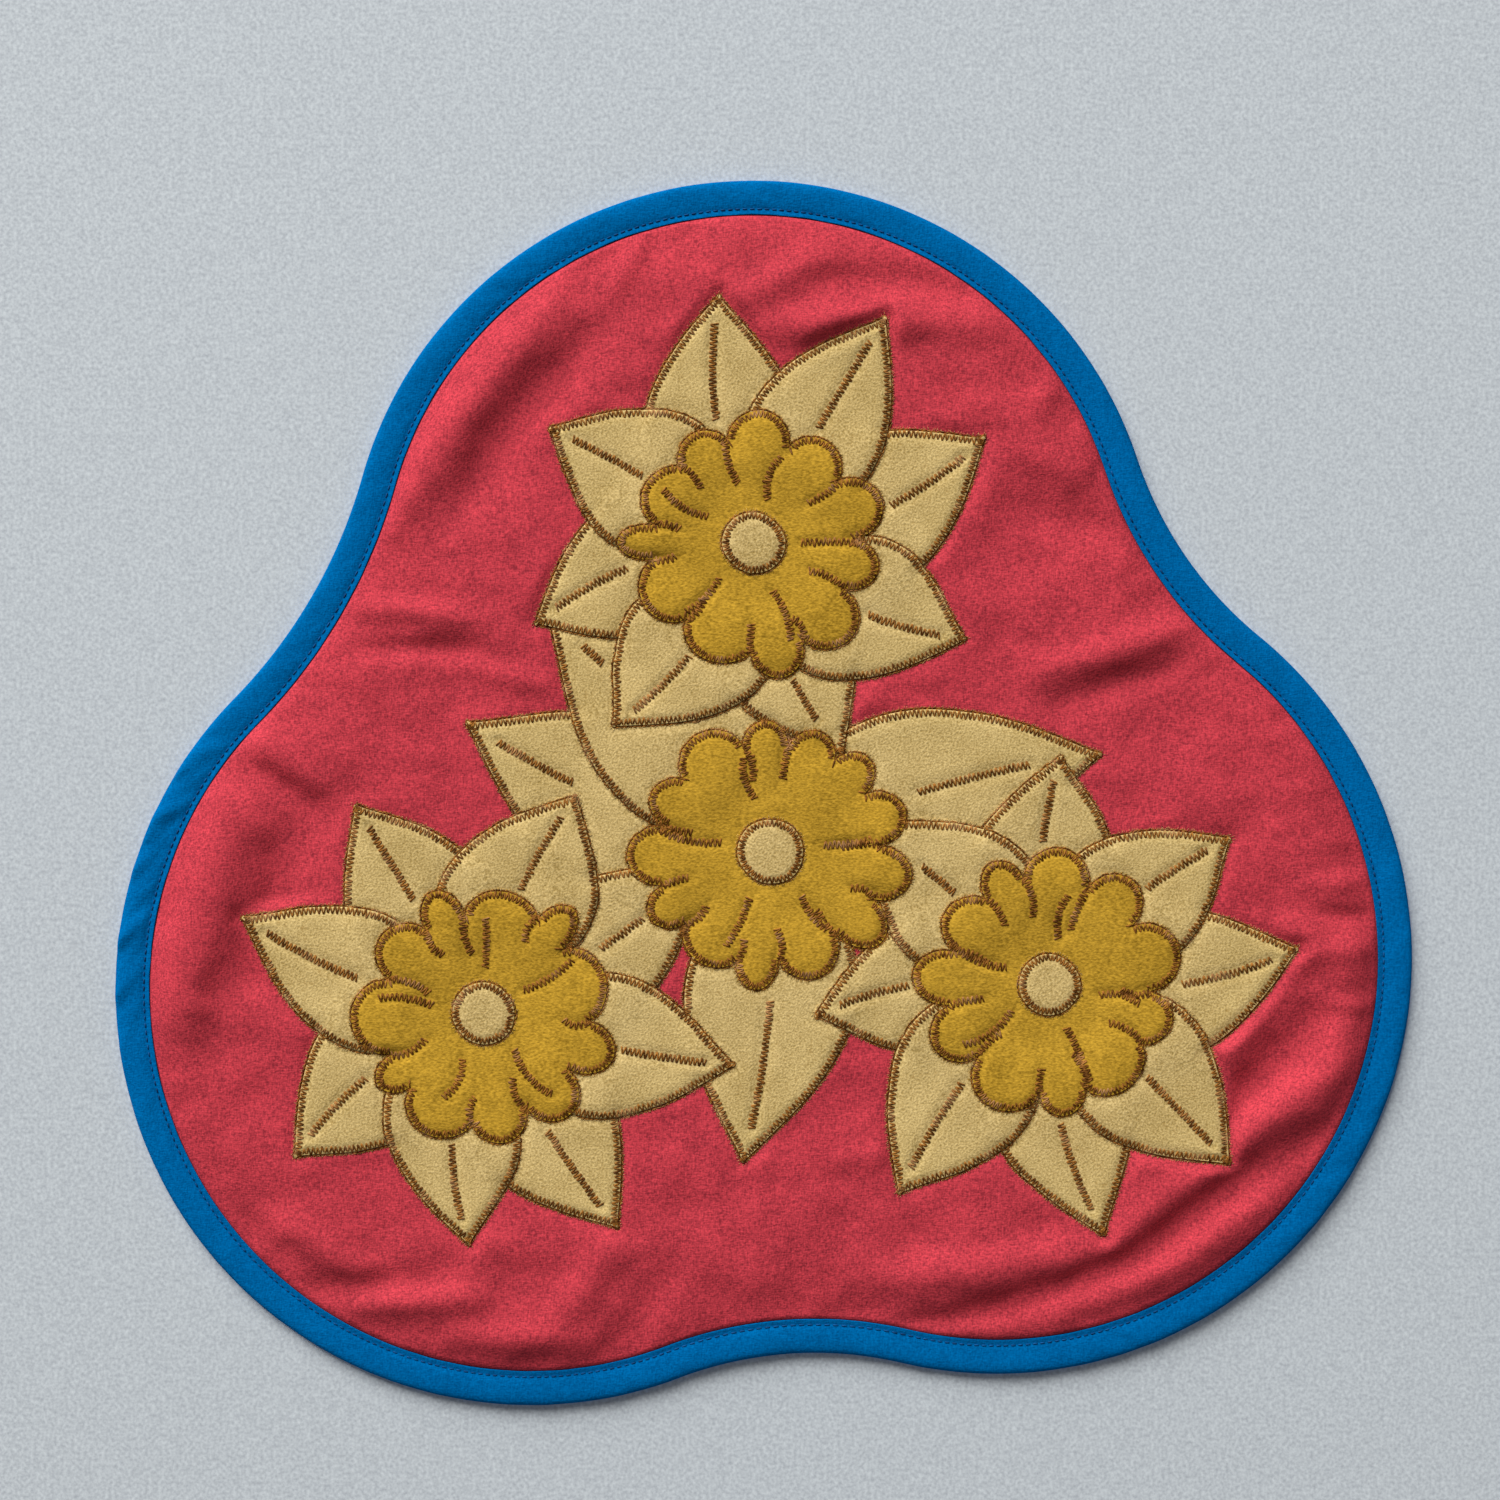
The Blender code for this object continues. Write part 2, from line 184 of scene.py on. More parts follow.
def two_tone(
    tree: bpy.types.NodeTree,
    value: bpy.types.NodeSocket,
    span: tuple[float, float],
    first: bpy.types.NodeSocket | tuple[float, ...],
    second: bpy.types.NodeSocket | tuple[float, ...],
) -> bpy.types.NodeSocket:
    """Colour a surface between two colours by a noise.

    Args:
        tree: The material's node tree.
        value: The noise.
        span: Its values at which the colour is wholly the first and wholly the second.
        first: A linear colour or its socket.
        second: A linear colour or its socket.

    Returns:
        The colour's socket.
    """
    share = add_node(
        tree, "ShaderNodeMapRange", {"Value": value, "From Min": span[0], "From Max": span[1]}
    )
    mix = add_node(
        tree, "ShaderNodeMix", {0: share.outputs[0], 6: first, 7: second}, data_type="RGBA"
    )
    return mix.outputs[2]


def finish_cloth(
    tree: bpy.types.NodeTree,
    colour: bpy.types.NodeSocket,
    height: bpy.types.NodeSocket,
    bump: tuple[float, float],
    settings: dict[str, object],
) -> None:
    """Give a cloth or thread its shader, with its fibres as a fine relief.

    Args:
        tree: The material's node tree.
        colour: The colour's socket.
        height: The relief's socket.
        bump: The relief's strength, and its depth in millimetres.
        settings: The shader's other values, by the names of its inputs.
    """
    relief = add_node(
        tree, "ShaderNodeBump", {"Height": height, "Strength": bump[0], "Distance": bump[1] * MM}
    )
    fixed = {"Base Color": colour, "Normal": relief.outputs[0], "Metallic": 0.0, "IOR": FIBRE_IOR}
    shader = add_node(tree, "ShaderNodeBsdfPrincipled", {**fixed, **settings})
    add_node(tree, "ShaderNodeOutputMaterial", {"Surface": shader.outputs[0]})


@dataclass(frozen=True)
class WovenCotton:
    """Plain-woven cotton, piece-dyed and pressed.

    Fine even threads give the eye a matt ground with a soft bloom at grazing angles, faint
    slubs along both thread directions, and slow mottling where the dye took unevenly.
    """

    name: str
    light: str
    dark: str
    roughness: float
    sheen: float
    sheen_tint: str
    specular: float
    # Real threads lie 0.3 mm apart. They are drawn 0.7 mm apart, so that the weave just shows.
    thread: float = 0.7
    slub_width: float = 0.55
    slub_length: float = 1.8
    mottle: float = 9.0
    mottle_weight: float = 0.3
    turn_degrees: float = 0.0
    shades: tuple[float, float] = (1.27, 2.03)
    bump: tuple[float, float] = (0.5, 0.25)

    def build(self) -> bpy.types.Material:
        """Make the material.

        Returns:
            The material.
        """
        material = new_material(self.name)
        tree = material.node_tree
        width = self.slub_width
        length = self.slub_length
        across = grain(tree, (length, width, width), 1.0, self.turn_degrees)
        down = grain(tree, (width, width, length), 1.0, self.turn_degrees)
        slubs = add_node(tree, "ShaderNodeMath", {0: across, 1: down}, operation="ADD")
        threads = grain(tree, (self.thread, self.thread, self.thread))
        woven = add_node(
            tree, "ShaderNodeMath", {0: slubs.outputs[0], 1: threads}, operation="ADD"
        )
        slow = grain(tree, (self.mottle, self.mottle, self.mottle), 1.0)
        dyed = add_node(
            tree,
            "ShaderNodeMath",
            {0: slow, 1: self.mottle_weight, 2: woven.outputs[0]},
            operation="MULTIPLY_ADD",
        )
        dark = linear(self.dark)
        light = linear(self.light)
        colour = two_tone(tree, dyed.outputs[0], self.shades, dark, light)
        settings = {
            "Roughness": self.roughness,
            "Specular IOR Level": self.specular,
            "Sheen Weight": self.sheen,
            "Sheen Roughness": 0.45,
            "Sheen Tint": linear(self.sheen_tint),
        }
        finish_cloth(tree, colour, woven.outputs[0], self.bump, settings)
        return material


@dataclass(frozen=True)
class BrushedFelt:
    """Felted wool-mix cloth with a short brushed nap.

    Matted fibres give the eye no gloss at all, a speckled face of lighter and darker tufts, and
    a pale bloom where the nap is seen from the side.
    """

    name: str
    light: str
    dark: str
    fleck: str
    # A tuft is about 0.5 mm across. It is drawn at about 0.75 mm, so that the render shows it.
    tuft: tuple[float, float, float]
    sheen: float = 0.15
    bump: tuple[float, float] = (0.6, 0.5)
    shades: tuple[float, float] = (0.38, 0.92)
    mottle: float = 14.0
    mottle_weight: float = 0.3
    # Flecks are clumps of darker tufts.
    clump: float = 2.2
    fleck_shades: tuple[float, float] = (0.62, 0.92)

    def build(self) -> bpy.types.Material:
        """Make the material.

        Returns:
            The material.
        """
        material = new_material(self.name)
        tree = material.node_tree
        nap = grain(tree, self.tuft, 3.0)
        slow = grain(tree, (self.mottle, self.mottle, self.mottle))
        shade = add_node(
            tree,
            "ShaderNodeMath",
            {0: slow, 1: self.mottle_weight, 2: nap},
            operation="MULTIPLY_ADD",
        )
        dark = linear(self.dark)
        light = linear(self.light)
        ground = two_tone(tree, shade.outputs[0], self.shades, dark, light)
        clumps = grain(tree, tuple(side * self.clump for side in self.tuft))
        colour = two_tone(tree, clumps, self.fleck_shades, ground, linear(self.fleck))
        settings = {
            "Roughness": 0.95,
            "Specular IOR Level": 0.05,
            "Sheen Weight": self.sheen,
            "Sheen Roughness": 0.6,
            "Sheen Tint": light,
        }
        finish_cloth(tree, colour, nap, self.bump, settings)
        return material


@dataclass(frozen=True)
class SewingThread:
    """Twisted polyester-cotton thread, dyed in changing shades.

    Twist gives the eye small bright beads on a darker line, and the shade drifts from stitch to
    stitch.
    """

    name: str
    light: str
    dark: str
    pale: str
    # The shade changes about every other stitch, and the dye turns pale every centimetre or so.
    shade_length: float = 1.7
    shades: tuple[float, float] = (0.38, 0.68)
    pale_length: float = 8.0
    pale_shades: tuple[float, float] = (0.54, 0.95)
    # The plies turn once in about this length.
    twist: float = 0.3
    bump: tuple[float, float] = (0.4, 0.1)
    roughness: float = 0.65

    def build(self) -> bpy.types.Material:
        """Make the material.

        Returns:
            The material.
        """
        material = new_material(self.name)
        tree = material.node_tree
        shade = grain(tree, (self.shade_length, self.shade_length, self.shade_length))
        dyed = two_tone(tree, shade, self.shades, linear(self.dark), linear(self.light))
        drift = grain(tree, (self.pale_length, self.pale_length, self.pale_length), 1.0)
        colour = two_tone(tree, drift, self.pale_shades, dyed, linear(self.pale))
        twist = grain(tree, (self.twist, self.twist, self.twist), 1.0)
        settings = {"Roughness": self.roughness, "Specular IOR Level": 0.15}
        finish_cloth(tree, colour, twist, self.bump, settings)
        return material


@dataclass(frozen=True)
class PaintedWall:
    """Pale emulsion on plaster: matt, with a fine even tooth from the roller.

    It is painted on the quilt's side only, so that the quilt's back can be seen through it.
    """

    name: str = "pale_emulsion"
    light: str = "dfe6e9"
    dark: str = "b2b8be"
    # The roller's tooth is about 0.5 mm. It is drawn 1.2 mm across, so that it just shows.
    tooth: float = 1.2
    shades: tuple[float, float] = (0.2, 0.8)

    def build(self) -> bpy.types.Material:
        """Make the material.

        Returns:
            The material.
        """
        material = new_material(self.name)
        tree = material.node_tree
        tooth = grain(tree, (self.tooth, self.tooth, self.tooth))
        colour = two_tone(tree, tooth, self.shades, linear(self.dark), linear(self.light))
        shader = add_node(
            tree, "ShaderNodeBsdfPrincipled", {"Base Color": colour, "Roughness": 0.9}
        )
        clear = add_node(tree, "ShaderNodeBsdfTransparent")
        side = add_node(tree, "ShaderNodeNewGeometry")
        mix = add_node(
            tree,
            "ShaderNodeMixShader",
            {0: side.outputs["Backfacing"], 1: shader.outputs[0], 2: clear.outputs[0]},
        )
        add_node(tree, "ShaderNodeOutputMaterial", {"Surface": mix.outputs[0]})
        return material


def make_piece(
    name: str, places: np.ndarray, faces: list[np.ndarray], material: bpy.types.Material
) -> bpy.types.Object:
    """Make a closed, smooth-shaded piece that rides on the quilt, its faces turned outwards.

    Args:
        name: The piece's name.
        places: (n, 3) of metres in the row frame.
        faces: Groups of faces, each (m, 3) or (m, 4) of point numbers, all turned the same way.
        material: The finish.

    Returns:
        The new object.
    """
    volume = 0.0
    for group in faces:
        for corner in range(1, group.shape[1] - 1):
            first, second, third = (places[group[:, k]] for k in (0, corner, corner + 1))
            volume += np.einsum("ij,ij->", first, np.cross(second, third))
    if volume < 0:
        faces = [group[:, ::-1] for group in faces]
    sizes = np.concatenate([np.full(len(group), group.shape[1]) for group in faces])
    corners = np.concatenate([group.ravel() for group in faces])
    mesh = bpy.data.meshes.new(name)
    mesh.vertices.add(len(places))
    mesh.vertices.foreach_set("co", places.astype(np.float32).ravel())
    mesh.loops.add(len(corners))
    mesh.loops.foreach_set("vertex_index", corners.astype(np.int32))
    mesh.polygons.add(len(sizes))
    starts = np.concatenate(([0], np.cumsum(sizes)[:-1]))
    mesh.polygons.foreach_set("loop_start", starts.astype(np.int32))
    mesh.update(calc_edges=True)
    mesh.validate()
    mesh.shade_smooth()
    mesh.materials.append(material)
    piece = bpy.data.objects.new(name, mesh)
    bpy.context.scene.collection.objects.link(piece)
    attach(piece, BODY)
    LOG.info("%s: %d triangles", name, int((sizes - 2).sum()))
    return piece


def ring_band(first: np.ndarray, second: np.ndarray) -> np.ndarray:
    """Faces between two closed rings of as many points.

    Args:
        first: Point numbers of one ring.
        second: Point numbers of the other.

    Returns:
        (n, 4) of point numbers.
    """
    return np.column_stack((first, np.roll(first, -1), np.roll(second, -1), second))


def lattice_noise(
    across: np.ndarray, down: np.ndarray, seed: int, period: int = LATTICE
) -> np.ndarray:
    """Smooth noise from random values on a lattice of unit cells.

    Args:
        across: Coordinates in cells, which repeat after the period.
        down: Coordinates in cells.
        seed: Seed of the random values.
        period: Cells after which the noise repeats.

    Returns:
        Values from -1 to 1.
    """
    table = np.random.default_rng(seed).uniform(-1, 1, (period, LATTICE))
    column = np.floor(across).astype(int)
    row = np.floor(down).astype(int)
    share_x = across - column
    share_z = down - row
    share_x = share_x ** 2 * (3 - 2 * share_x)
    share_z = share_z ** 2 * (3 - 2 * share_z)
    low = table[column % period, row % LATTICE]
    low_next = table[(column + 1) % period, row % LATTICE]
    high = table[column % period, (row + 1) % LATTICE]
    high_next = table[(column + 1) % period, (row + 1) % LATTICE]
    bottom = low + (low_next - low) * share_x
    top = high + (high_next - high) * share_x
    return bottom + (top - bottom) * share_z


def blurred(values: np.ndarray, reach: float) -> np.ndarray:
    """Smooth a raster with a bell.

    Args:
        values: The raster.
        reach: The bell's standard deviation, in cells.

    Returns:
        The smoothed raster.
    """
    pad = int(3 * reach) + 1
    padded = np.pad(values, pad, mode="edge")
    rows = np.fft.fftfreq(padded.shape[0])[:, None]
    columns = np.fft.rfftfreq(padded.shape[1])
    bell = np.exp(-2 * (math.pi * reach) ** 2 * (rows ** 2 + columns ** 2))
    smooth = np.fft.irfft2(np.fft.rfft2(padded) * bell, s=padded.shape)
    return smooth[pad:-pad, pad:-pad]


def highest(values: np.ndarray, reach: int) -> np.ndarray:
    """Give each cell of a raster the greatest value near it.

    Args:
        values: The raster.
        reach: How many cells away the greatest value may lie, along each axis.

    Returns:
        The raster of greatest values.
    """
    best = values
    for axis in (0, 1):
        padding = [(reach, reach) if number == axis else (0, 0) for number in (0, 1)]
        padded = np.pad(best, padding, mode="edge")
        length = values.shape[axis]
        shifts = (np.take(padded, range(k, k + length), axis) for k in range(2 * reach + 1))
        best = np.maximum.reduce(list(shifts))
    return best


def distance_to(points: np.ndarray, path: np.ndarray, closed: bool) -> np.ndarray:
    """Distance from each point to a path of straight runs.

    Args:
        points: (n, 2) of places.
        path: (m, 2) of places along the path.
        closed: Whether the path comes back to its start.

    Returns:
        (n,) distances.
    """
    nearest = np.full(len(points), np.inf)
    ends = np.roll(path, -1, axis=0) if closed else path[1:]
    for start, end in zip(path, ends):
        run = end - start
        across = points[:, 0] - start[0]
        down = points[:, 1] - start[1]
        share = np.clip((across * run[0] + down * run[1]) / (run @ run), 0, 1)
        gap = (across - share * run[0]) ** 2 + (down - share * run[1]) ** 2
        nearest = np.minimum(nearest, gap)
    return np.sqrt(nearest)


def is_inside(points: np.ndarray, outline: np.ndarray) -> np.ndarray:
    """Tell which points lie inside a closed outline.

    Args:
        points: (n, 2) of places.
        outline: (m, 2) of places.

    Returns:
        (n,) of true and false.
    """
    inside = np.zeros(len(points), bool)
    for start, end in zip(outline, np.roll(outline, -1, axis=0)):
        if start[1] != end[1]:
            level = (start[1] > points[:, 1]) != (end[1] > points[:, 1])
            share = (points[:, 1] - start[1]) / (end[1] - start[1])
            inside ^= level & (points[:, 0] < start[0] + share * (end[0] - start[0]))
    return inside


def evenly(path: np.ndarray, spacing: float, closed: bool) -> np.ndarray:
    """Walk along a path in even steps.

    Args:
        path: (n, 2) of places.
        spacing: About how far apart the steps are.
        closed: Whether the path comes back to its start, which is then not repeated.

    Returns:
        (m, 2) of places.
    """
    whole = np.vstack((path, path[:1])) if closed else path
    length = np.concatenate(([0], np.cumsum(np.linalg.norm(np.diff(whole, axis=0), axis=1))))
    count = max(int(round(length[-1] / spacing)), 2)
    steps = np.linspace(0, length[-1], count + 1)[:count + (not closed)]
    return np.column_stack([np.interp(steps, length, whole[:, axis]) for axis in (0, 1)])


def outward(path: np.ndarray, reach: int, closed: bool) -> np.ndarray:
    """Unit vectors that point to the right of a walk, so out of an anticlockwise outline.

    Args:
        path: (n, 2) of places.
        reach: Steps before and after a place over which its direction is taken.
        closed: Whether the path comes back to its start.

    Returns:
        (n, 2) of unit vectors.
    """
    if closed:
        run = np.roll(path, -reach, axis=0) - np.roll(path, reach, axis=0)
    else:
        index = np.arange(len(path))
        run = path[np.clip(index + reach, 0, len(path) - 1)] - path[np.clip(index - reach, 0, None)]
    side = np.column_stack((run[:, 1], -run[:, 0]))
    return side / np.maximum(np.linalg.norm(side, axis=1, keepdims=True), 1e-9)


@dataclass(frozen=True)
class Lobe:
    """One round lobe of the outline."""

    x: float
    z: float
    radius: float


@dataclass(frozen=True)
class QuiltEdge:
    """The quilt's outline: three lobes, each joined to the next by a hollow waist."""

    lobes: tuple[Lobe, ...] = (
        Lobe(-4.4, 97.2, 143.8),
        Lobe(-82.9, -45.9, 147.5),
        Lobe(82.0, -34.8, 147.5),
    )
    waist_radii: tuple[float, ...] = (183.5, 134.9, 137.2)

    def waist_centre(self, index: int) -> np.ndarray:
        """Centre of the circle that touches a lobe and the next one from outside.

        Args:
            index: Number of the first lobe.

        Returns:
            The centre's x and z.
        """
        first = self.lobes[index]
        second = self.lobes[(index + 1) % len(self.lobes)]
        from_first = first.radius + self.waist_radii[index]
        from_second = second.radius + self.waist_radii[index]
        run = np.array((second.x - first.x, second.z - first.z))
        span = np.linalg.norm(run)
        unit = run / span
        along = (from_first ** 2 - from_second ** 2 + span ** 2) / (2 * span)
        aside = math.sqrt(from_first ** 2 - along ** 2)
        left = np.array((-unit[1], unit[0])) * aside
        base = np.array((first.x, first.z)) + unit * along
        return max((base + left, base - left), key=lambda centre: float(centre @ centre))

    def radius(self, theta: np.ndarray, inset: float = 0.0) -> np.ndarray:
        """Distance from the middle to the outline, or to a line inside it.

        Args:
            theta: (n,) directions in radians.
            inset: How far the line lies inside the outline.

        Returns:
            (n,) distances.
        """
        ray = np.column_stack((np.cos(theta), np.sin(theta)))
        reach = np.zeros(len(theta))
        for lobe in self.lobes:
            along = ray @ np.array((lobe.x, lobe.z))
            inside = along ** 2 - lobe.x ** 2 - lobe.z ** 2 + (lobe.radius - inset) ** 2
            hit = along + np.sqrt(np.clip(inside, 0, None))
            reach = np.maximum(reach, np.where(inside > 0, hit, 0))
        for index, waist in enumerate(self.waist_radii):
            centre = self.waist_centre(index)
            touches = []
            for lobe in (self.lobes[index], self.lobes[(index + 1) % len(self.lobes)]):
                share = (lobe.radius - inset) / (lobe.radius + waist)
                touch = np.array((lobe.x, lobe.z)) * (1 - share) + centre * share
                touches.append(math.atan2(touch[1], touch[0]))
            in_waist = (theta - touches[0]) % math.tau <= (touches[1] - touches[0]) % math.tau
            along = ray @ centre
            aside = centre @ centre - (waist + inset) ** 2
            hollow = along - np.sqrt(np.clip(along ** 2 - aside, 0, None))
            reach = np.where(in_waist, hollow, reach)
        return reach

    def points(self, theta: np.ndarray, inset: float = 0.0) -> np.ndarray:
        """Places on the outline, or on a line inside it.

        Args:
            theta: (n,) directions in radians.
            inset: How far the line lies inside the outline.

        Returns:
            (n, 2) of places.
        """
        ray = np.column_stack((np.cos(theta), np.sin(theta)))
        return ray * self.radius(theta, inset)[:, None]

    def walk(self, spacing: float) -> tuple[np.ndarray, np.ndarray]:
        """Walk round the outline in even steps, anticlockwise.

        Args:
            spacing: About how far apart the steps are.

        Returns:
            (n, 2) of places and (n, 2) of unit vectors that point outwards.
        """
        dense = self.points(np.linspace(0, math.tau, 14400, endpoint=False))
        path = evenly(dense, spacing, True)
        return path, outward(path, 2, True)

    def inset_of(self, points: np.ndarray) -> np.ndarray:
        """How far inside the outline each place lies, below 0 for a place outside it.

        Args:
            points: (n, 2) of places.

        Returns:
            (n,) distances.
        """
        depth = np.full(len(points), -np.inf)
        for lobe in self.lobes:
            from_centre = points - np.array((lobe.x, lobe.z))
            depth = np.maximum(depth, lobe.radius - np.linalg.norm(from_centre, axis=1))
        for index, waist in enumerate(self.waist_radii):
            first = self.lobes[index]
            second = self.lobes[(index + 1) % len(self.lobes)]
            corners = np.array(
                ((first.x, first.z), (second.x, second.z), self.waist_centre(index))
            )
            hollow = np.linalg.norm(points - corners[2], axis=1) - waist
            depth = np.where(is_inside(points, corners), hollow, depth)
        return depth


@dataclass(frozen=True)
class Fold:
    """A fold in the panel: a straight run from end to end, bowed sideways in its middle.

    A ridge has a height above 0 and a trough one below 0.
    """

    x0: float
    z0: float
    x1: float
    z1: float
    bow: float
    width: float
    height: float
    end_taper: float = 1.2
    flank: float = 0.85

    def heights(self, points: np.ndarray) -> np.ndarray:
        """How far the fold lifts each place.

        Args:
            points: (n, 2) of places.

        Returns:
            (n,) heights.
        """
        run = np.array((self.x1 - self.x0, self.z1 - self.z0))
        length = np.linalg.norm(run)
        offset = points - np.array((self.x0, self.z0))
        along = np.clip(offset @ run / length ** 2, 0, 1)
        hump = 4 * along * (1 - along)
        aside = (offset[:, 1] * run[0] - offset[:, 0] * run[1]) / length - self.bow * hump
        bell = np.exp(-(aside / (self.flank * self.width)) ** 2)
        return self.height * hump ** self.end_taper * bell


# The solid panel has the main folds only, and lower. Places are read off the photograph.
FOLDS = (
    # Upper lobe.
    Fold(-140, 108, -62, 214, 2, 9, 4.5),
    Fold(-124, 100, -40, 206, 4, 9, -2.8),
    Fold(-45, 176, 32, 220, 0, 8, 2.5),
    Fold(8, 203, 84, 200, 3, 7, -2.3),
    Fold(-30, 184, 92, 188, 3, 7, 3.2),
    Fold(-56, 196, -40, 226, 0, 5, 1.2),
    Fold(66, 159, 112, 166, 0, 1.6, 0.5),
    Fold(70, 166, 92, 150, 0, 6, 1.4),
    Fold(84, 150, 122, 132, -2, 7, 2.3),
    Fold(78, 126, 130, 112, 2, 8, -2.3),
    Fold(-119, 141, -55, 143, 1, 1.6, -0.45),
    # Left waist.
    Fold(-148, 90, -94, 83, 1, 5.5, 2.6),
    Fold(-150, 75, -94, 74, 0, 4.5, -2.2),
    Fold(-112, 70, -72, 60, 0, 5, 1.4),
    Fold(-188, 52, -156, 22, 0, 7, 2.8),
    Fold(-180, 36, -148, 8, 0, 7, -2.6),
    Fold(-204, 30, -172, 6, 0, 6, 2.2),
    # Left edge.
    Fold(-184, 26, -207, -66, -2, 10, 5.6),
    Fold(-162, 22, -182, -52, 0, 9, -4.2),
    Fold(-190, 16, -195, -98, -14, 9, 2.0),
    Fold(-214, -26, -196, -40, 0, 4, 1.6),
    Fold(-212, -46, -190, -56, 0, 5, 1.8),
    # Lower left.
    Fold(-182, -120, -136, -150, 0, 7, 2.6),
    Fold(-170, -152, -108, -148, 0, 6, -2.0),
    Fold(-154, -158, -92, -154, 1, 6, 2.9),
    Fold(-116, -168, -58, -170, 0, 6, 2.7),
    Fold(-80, -174, -50, -130, 0, 8, 2.6),
    Fold(-58, -178, -26, -138, 0, 7, -1.9),
    Fold(-122, -134, -58, -138, 0, 8, 1.4),
    # Right lobe.
    Fold(208, -6, 128, -124, -8, 10, 5.2),
    Fold(214, -42, 138, -128, -6, 8, -3.9),
    Fold(218, -64, 114, -144, -4, 7, 4.6),
    Fold(216, -80, 108, -154, 2, 7, -4.0),
    Fold(154, -132, 36, -168, 4, 6, -4.0),
    Fold(24, -149, 132, -132, -3, 8, 3.2),
    Fold(224, -30, 182, -34, 0, 5, 2.3),
    Fold(224, -20, 184, -18, 0, 4, -1.4),
    Fold(224, -6, 182, -10, 0, 4, 1.4),
    Fold(220, -52, 194, -50, 0, 4, 1.4),
    Fold(200, 4, 175, -118, 16.5, 9, 2.4),
    Fold(190, -97, 86, -159, 15.7, 9, 2.2),
    # Right waist.
    Fold(86, 64, 162, 88, -2, 7, 3.4),
    Fold(92, 52, 164, 74, 0, 6, -1.5),
    Fold(168, 54, 198, 28, 0, 6, 1.3),
    Fold(138, 42, 170, 10, 0, 7, 1.2),
    Fold(12, -107, 76, -101, 0, 6, 1.5),
)


@dataclass
class Applied:
    """A piece of felted cloth that is laid on the panel and sewn round its edge.

    Attributes:
        name: The piece's name, which starts with its node's.
        node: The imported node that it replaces.
        level: Its place in the order of sewing.
        felt: Its colour.
        outline: (n, 2) of places, anticlockwise.
        points: (m, 2) of places in the outline, for its mesh.
        faces: Faces of its front, anticlockwise as the viewer sees them.
        rim: Point numbers round its edge, anticlockwise.
        seams: Paths sewn across it.
        flat: Its width and length when cut, in metres.
        window: The part of the raster round it.
        depth: How far inside its outline each cell of the window lies.
        top: Heights of its face in the window.
        under: Heights of what it lies on in the window.
        sunk: What the sewing had pressed down before it was laid.
    """

    name: str
    node: str
    level: int
    felt: Felt
    outline: np.ndarray
    points: np.ndarray
    faces: list[np.ndarray]
    rim: np.ndarray
    seams: list[np.ndarray]
    flat: tuple[float, float]
    window: tuple[slice, slice] = (slice(0), slice(0))
    depth: np.ndarray = field(default_factory=lambda: np.zeros(0))
    top: np.ndarray = field(default_factory=lambda: np.zeros(0))
    under: np.ndarray = field(default_factory=lambda: np.zeros(0))
    sunk: np.ndarray = field(default_factory=lambda: np.zeros(0))

    def area(self) -> float:
        """Work out the flat area of the piece as it was cut.

        Returns:
            The area in square metres.
        """
        following = np.roll(self.outline, -1, axis=0)
        cross = self.outline[:, 0] * following[:, 1] - self.outline[:, 1] * following[:, 0]
        return abs(float(cross.sum())) / 2 * MM ** 2


@dataclass(frozen=True)
class Waves:
    """Small waves of the cloth, from lattice noise.

    Attributes:
        height: How far they rise and fall.
        seed: Seed of the noise.
        length: One cell's length.
        offset: Cells by which the lattice is shifted.
        turn_degrees: How far the lattice is turned.
        count: How many cells go round the quilt or the blossom.
        fade: How far from the seam that causes them they die away.
    """

    height: float
    seed: int
    length: float = 1.0
    offset: float = 0.0
    turn_degrees: float = 0.0
    count: int = LATTICE
    fade: float = 1.0


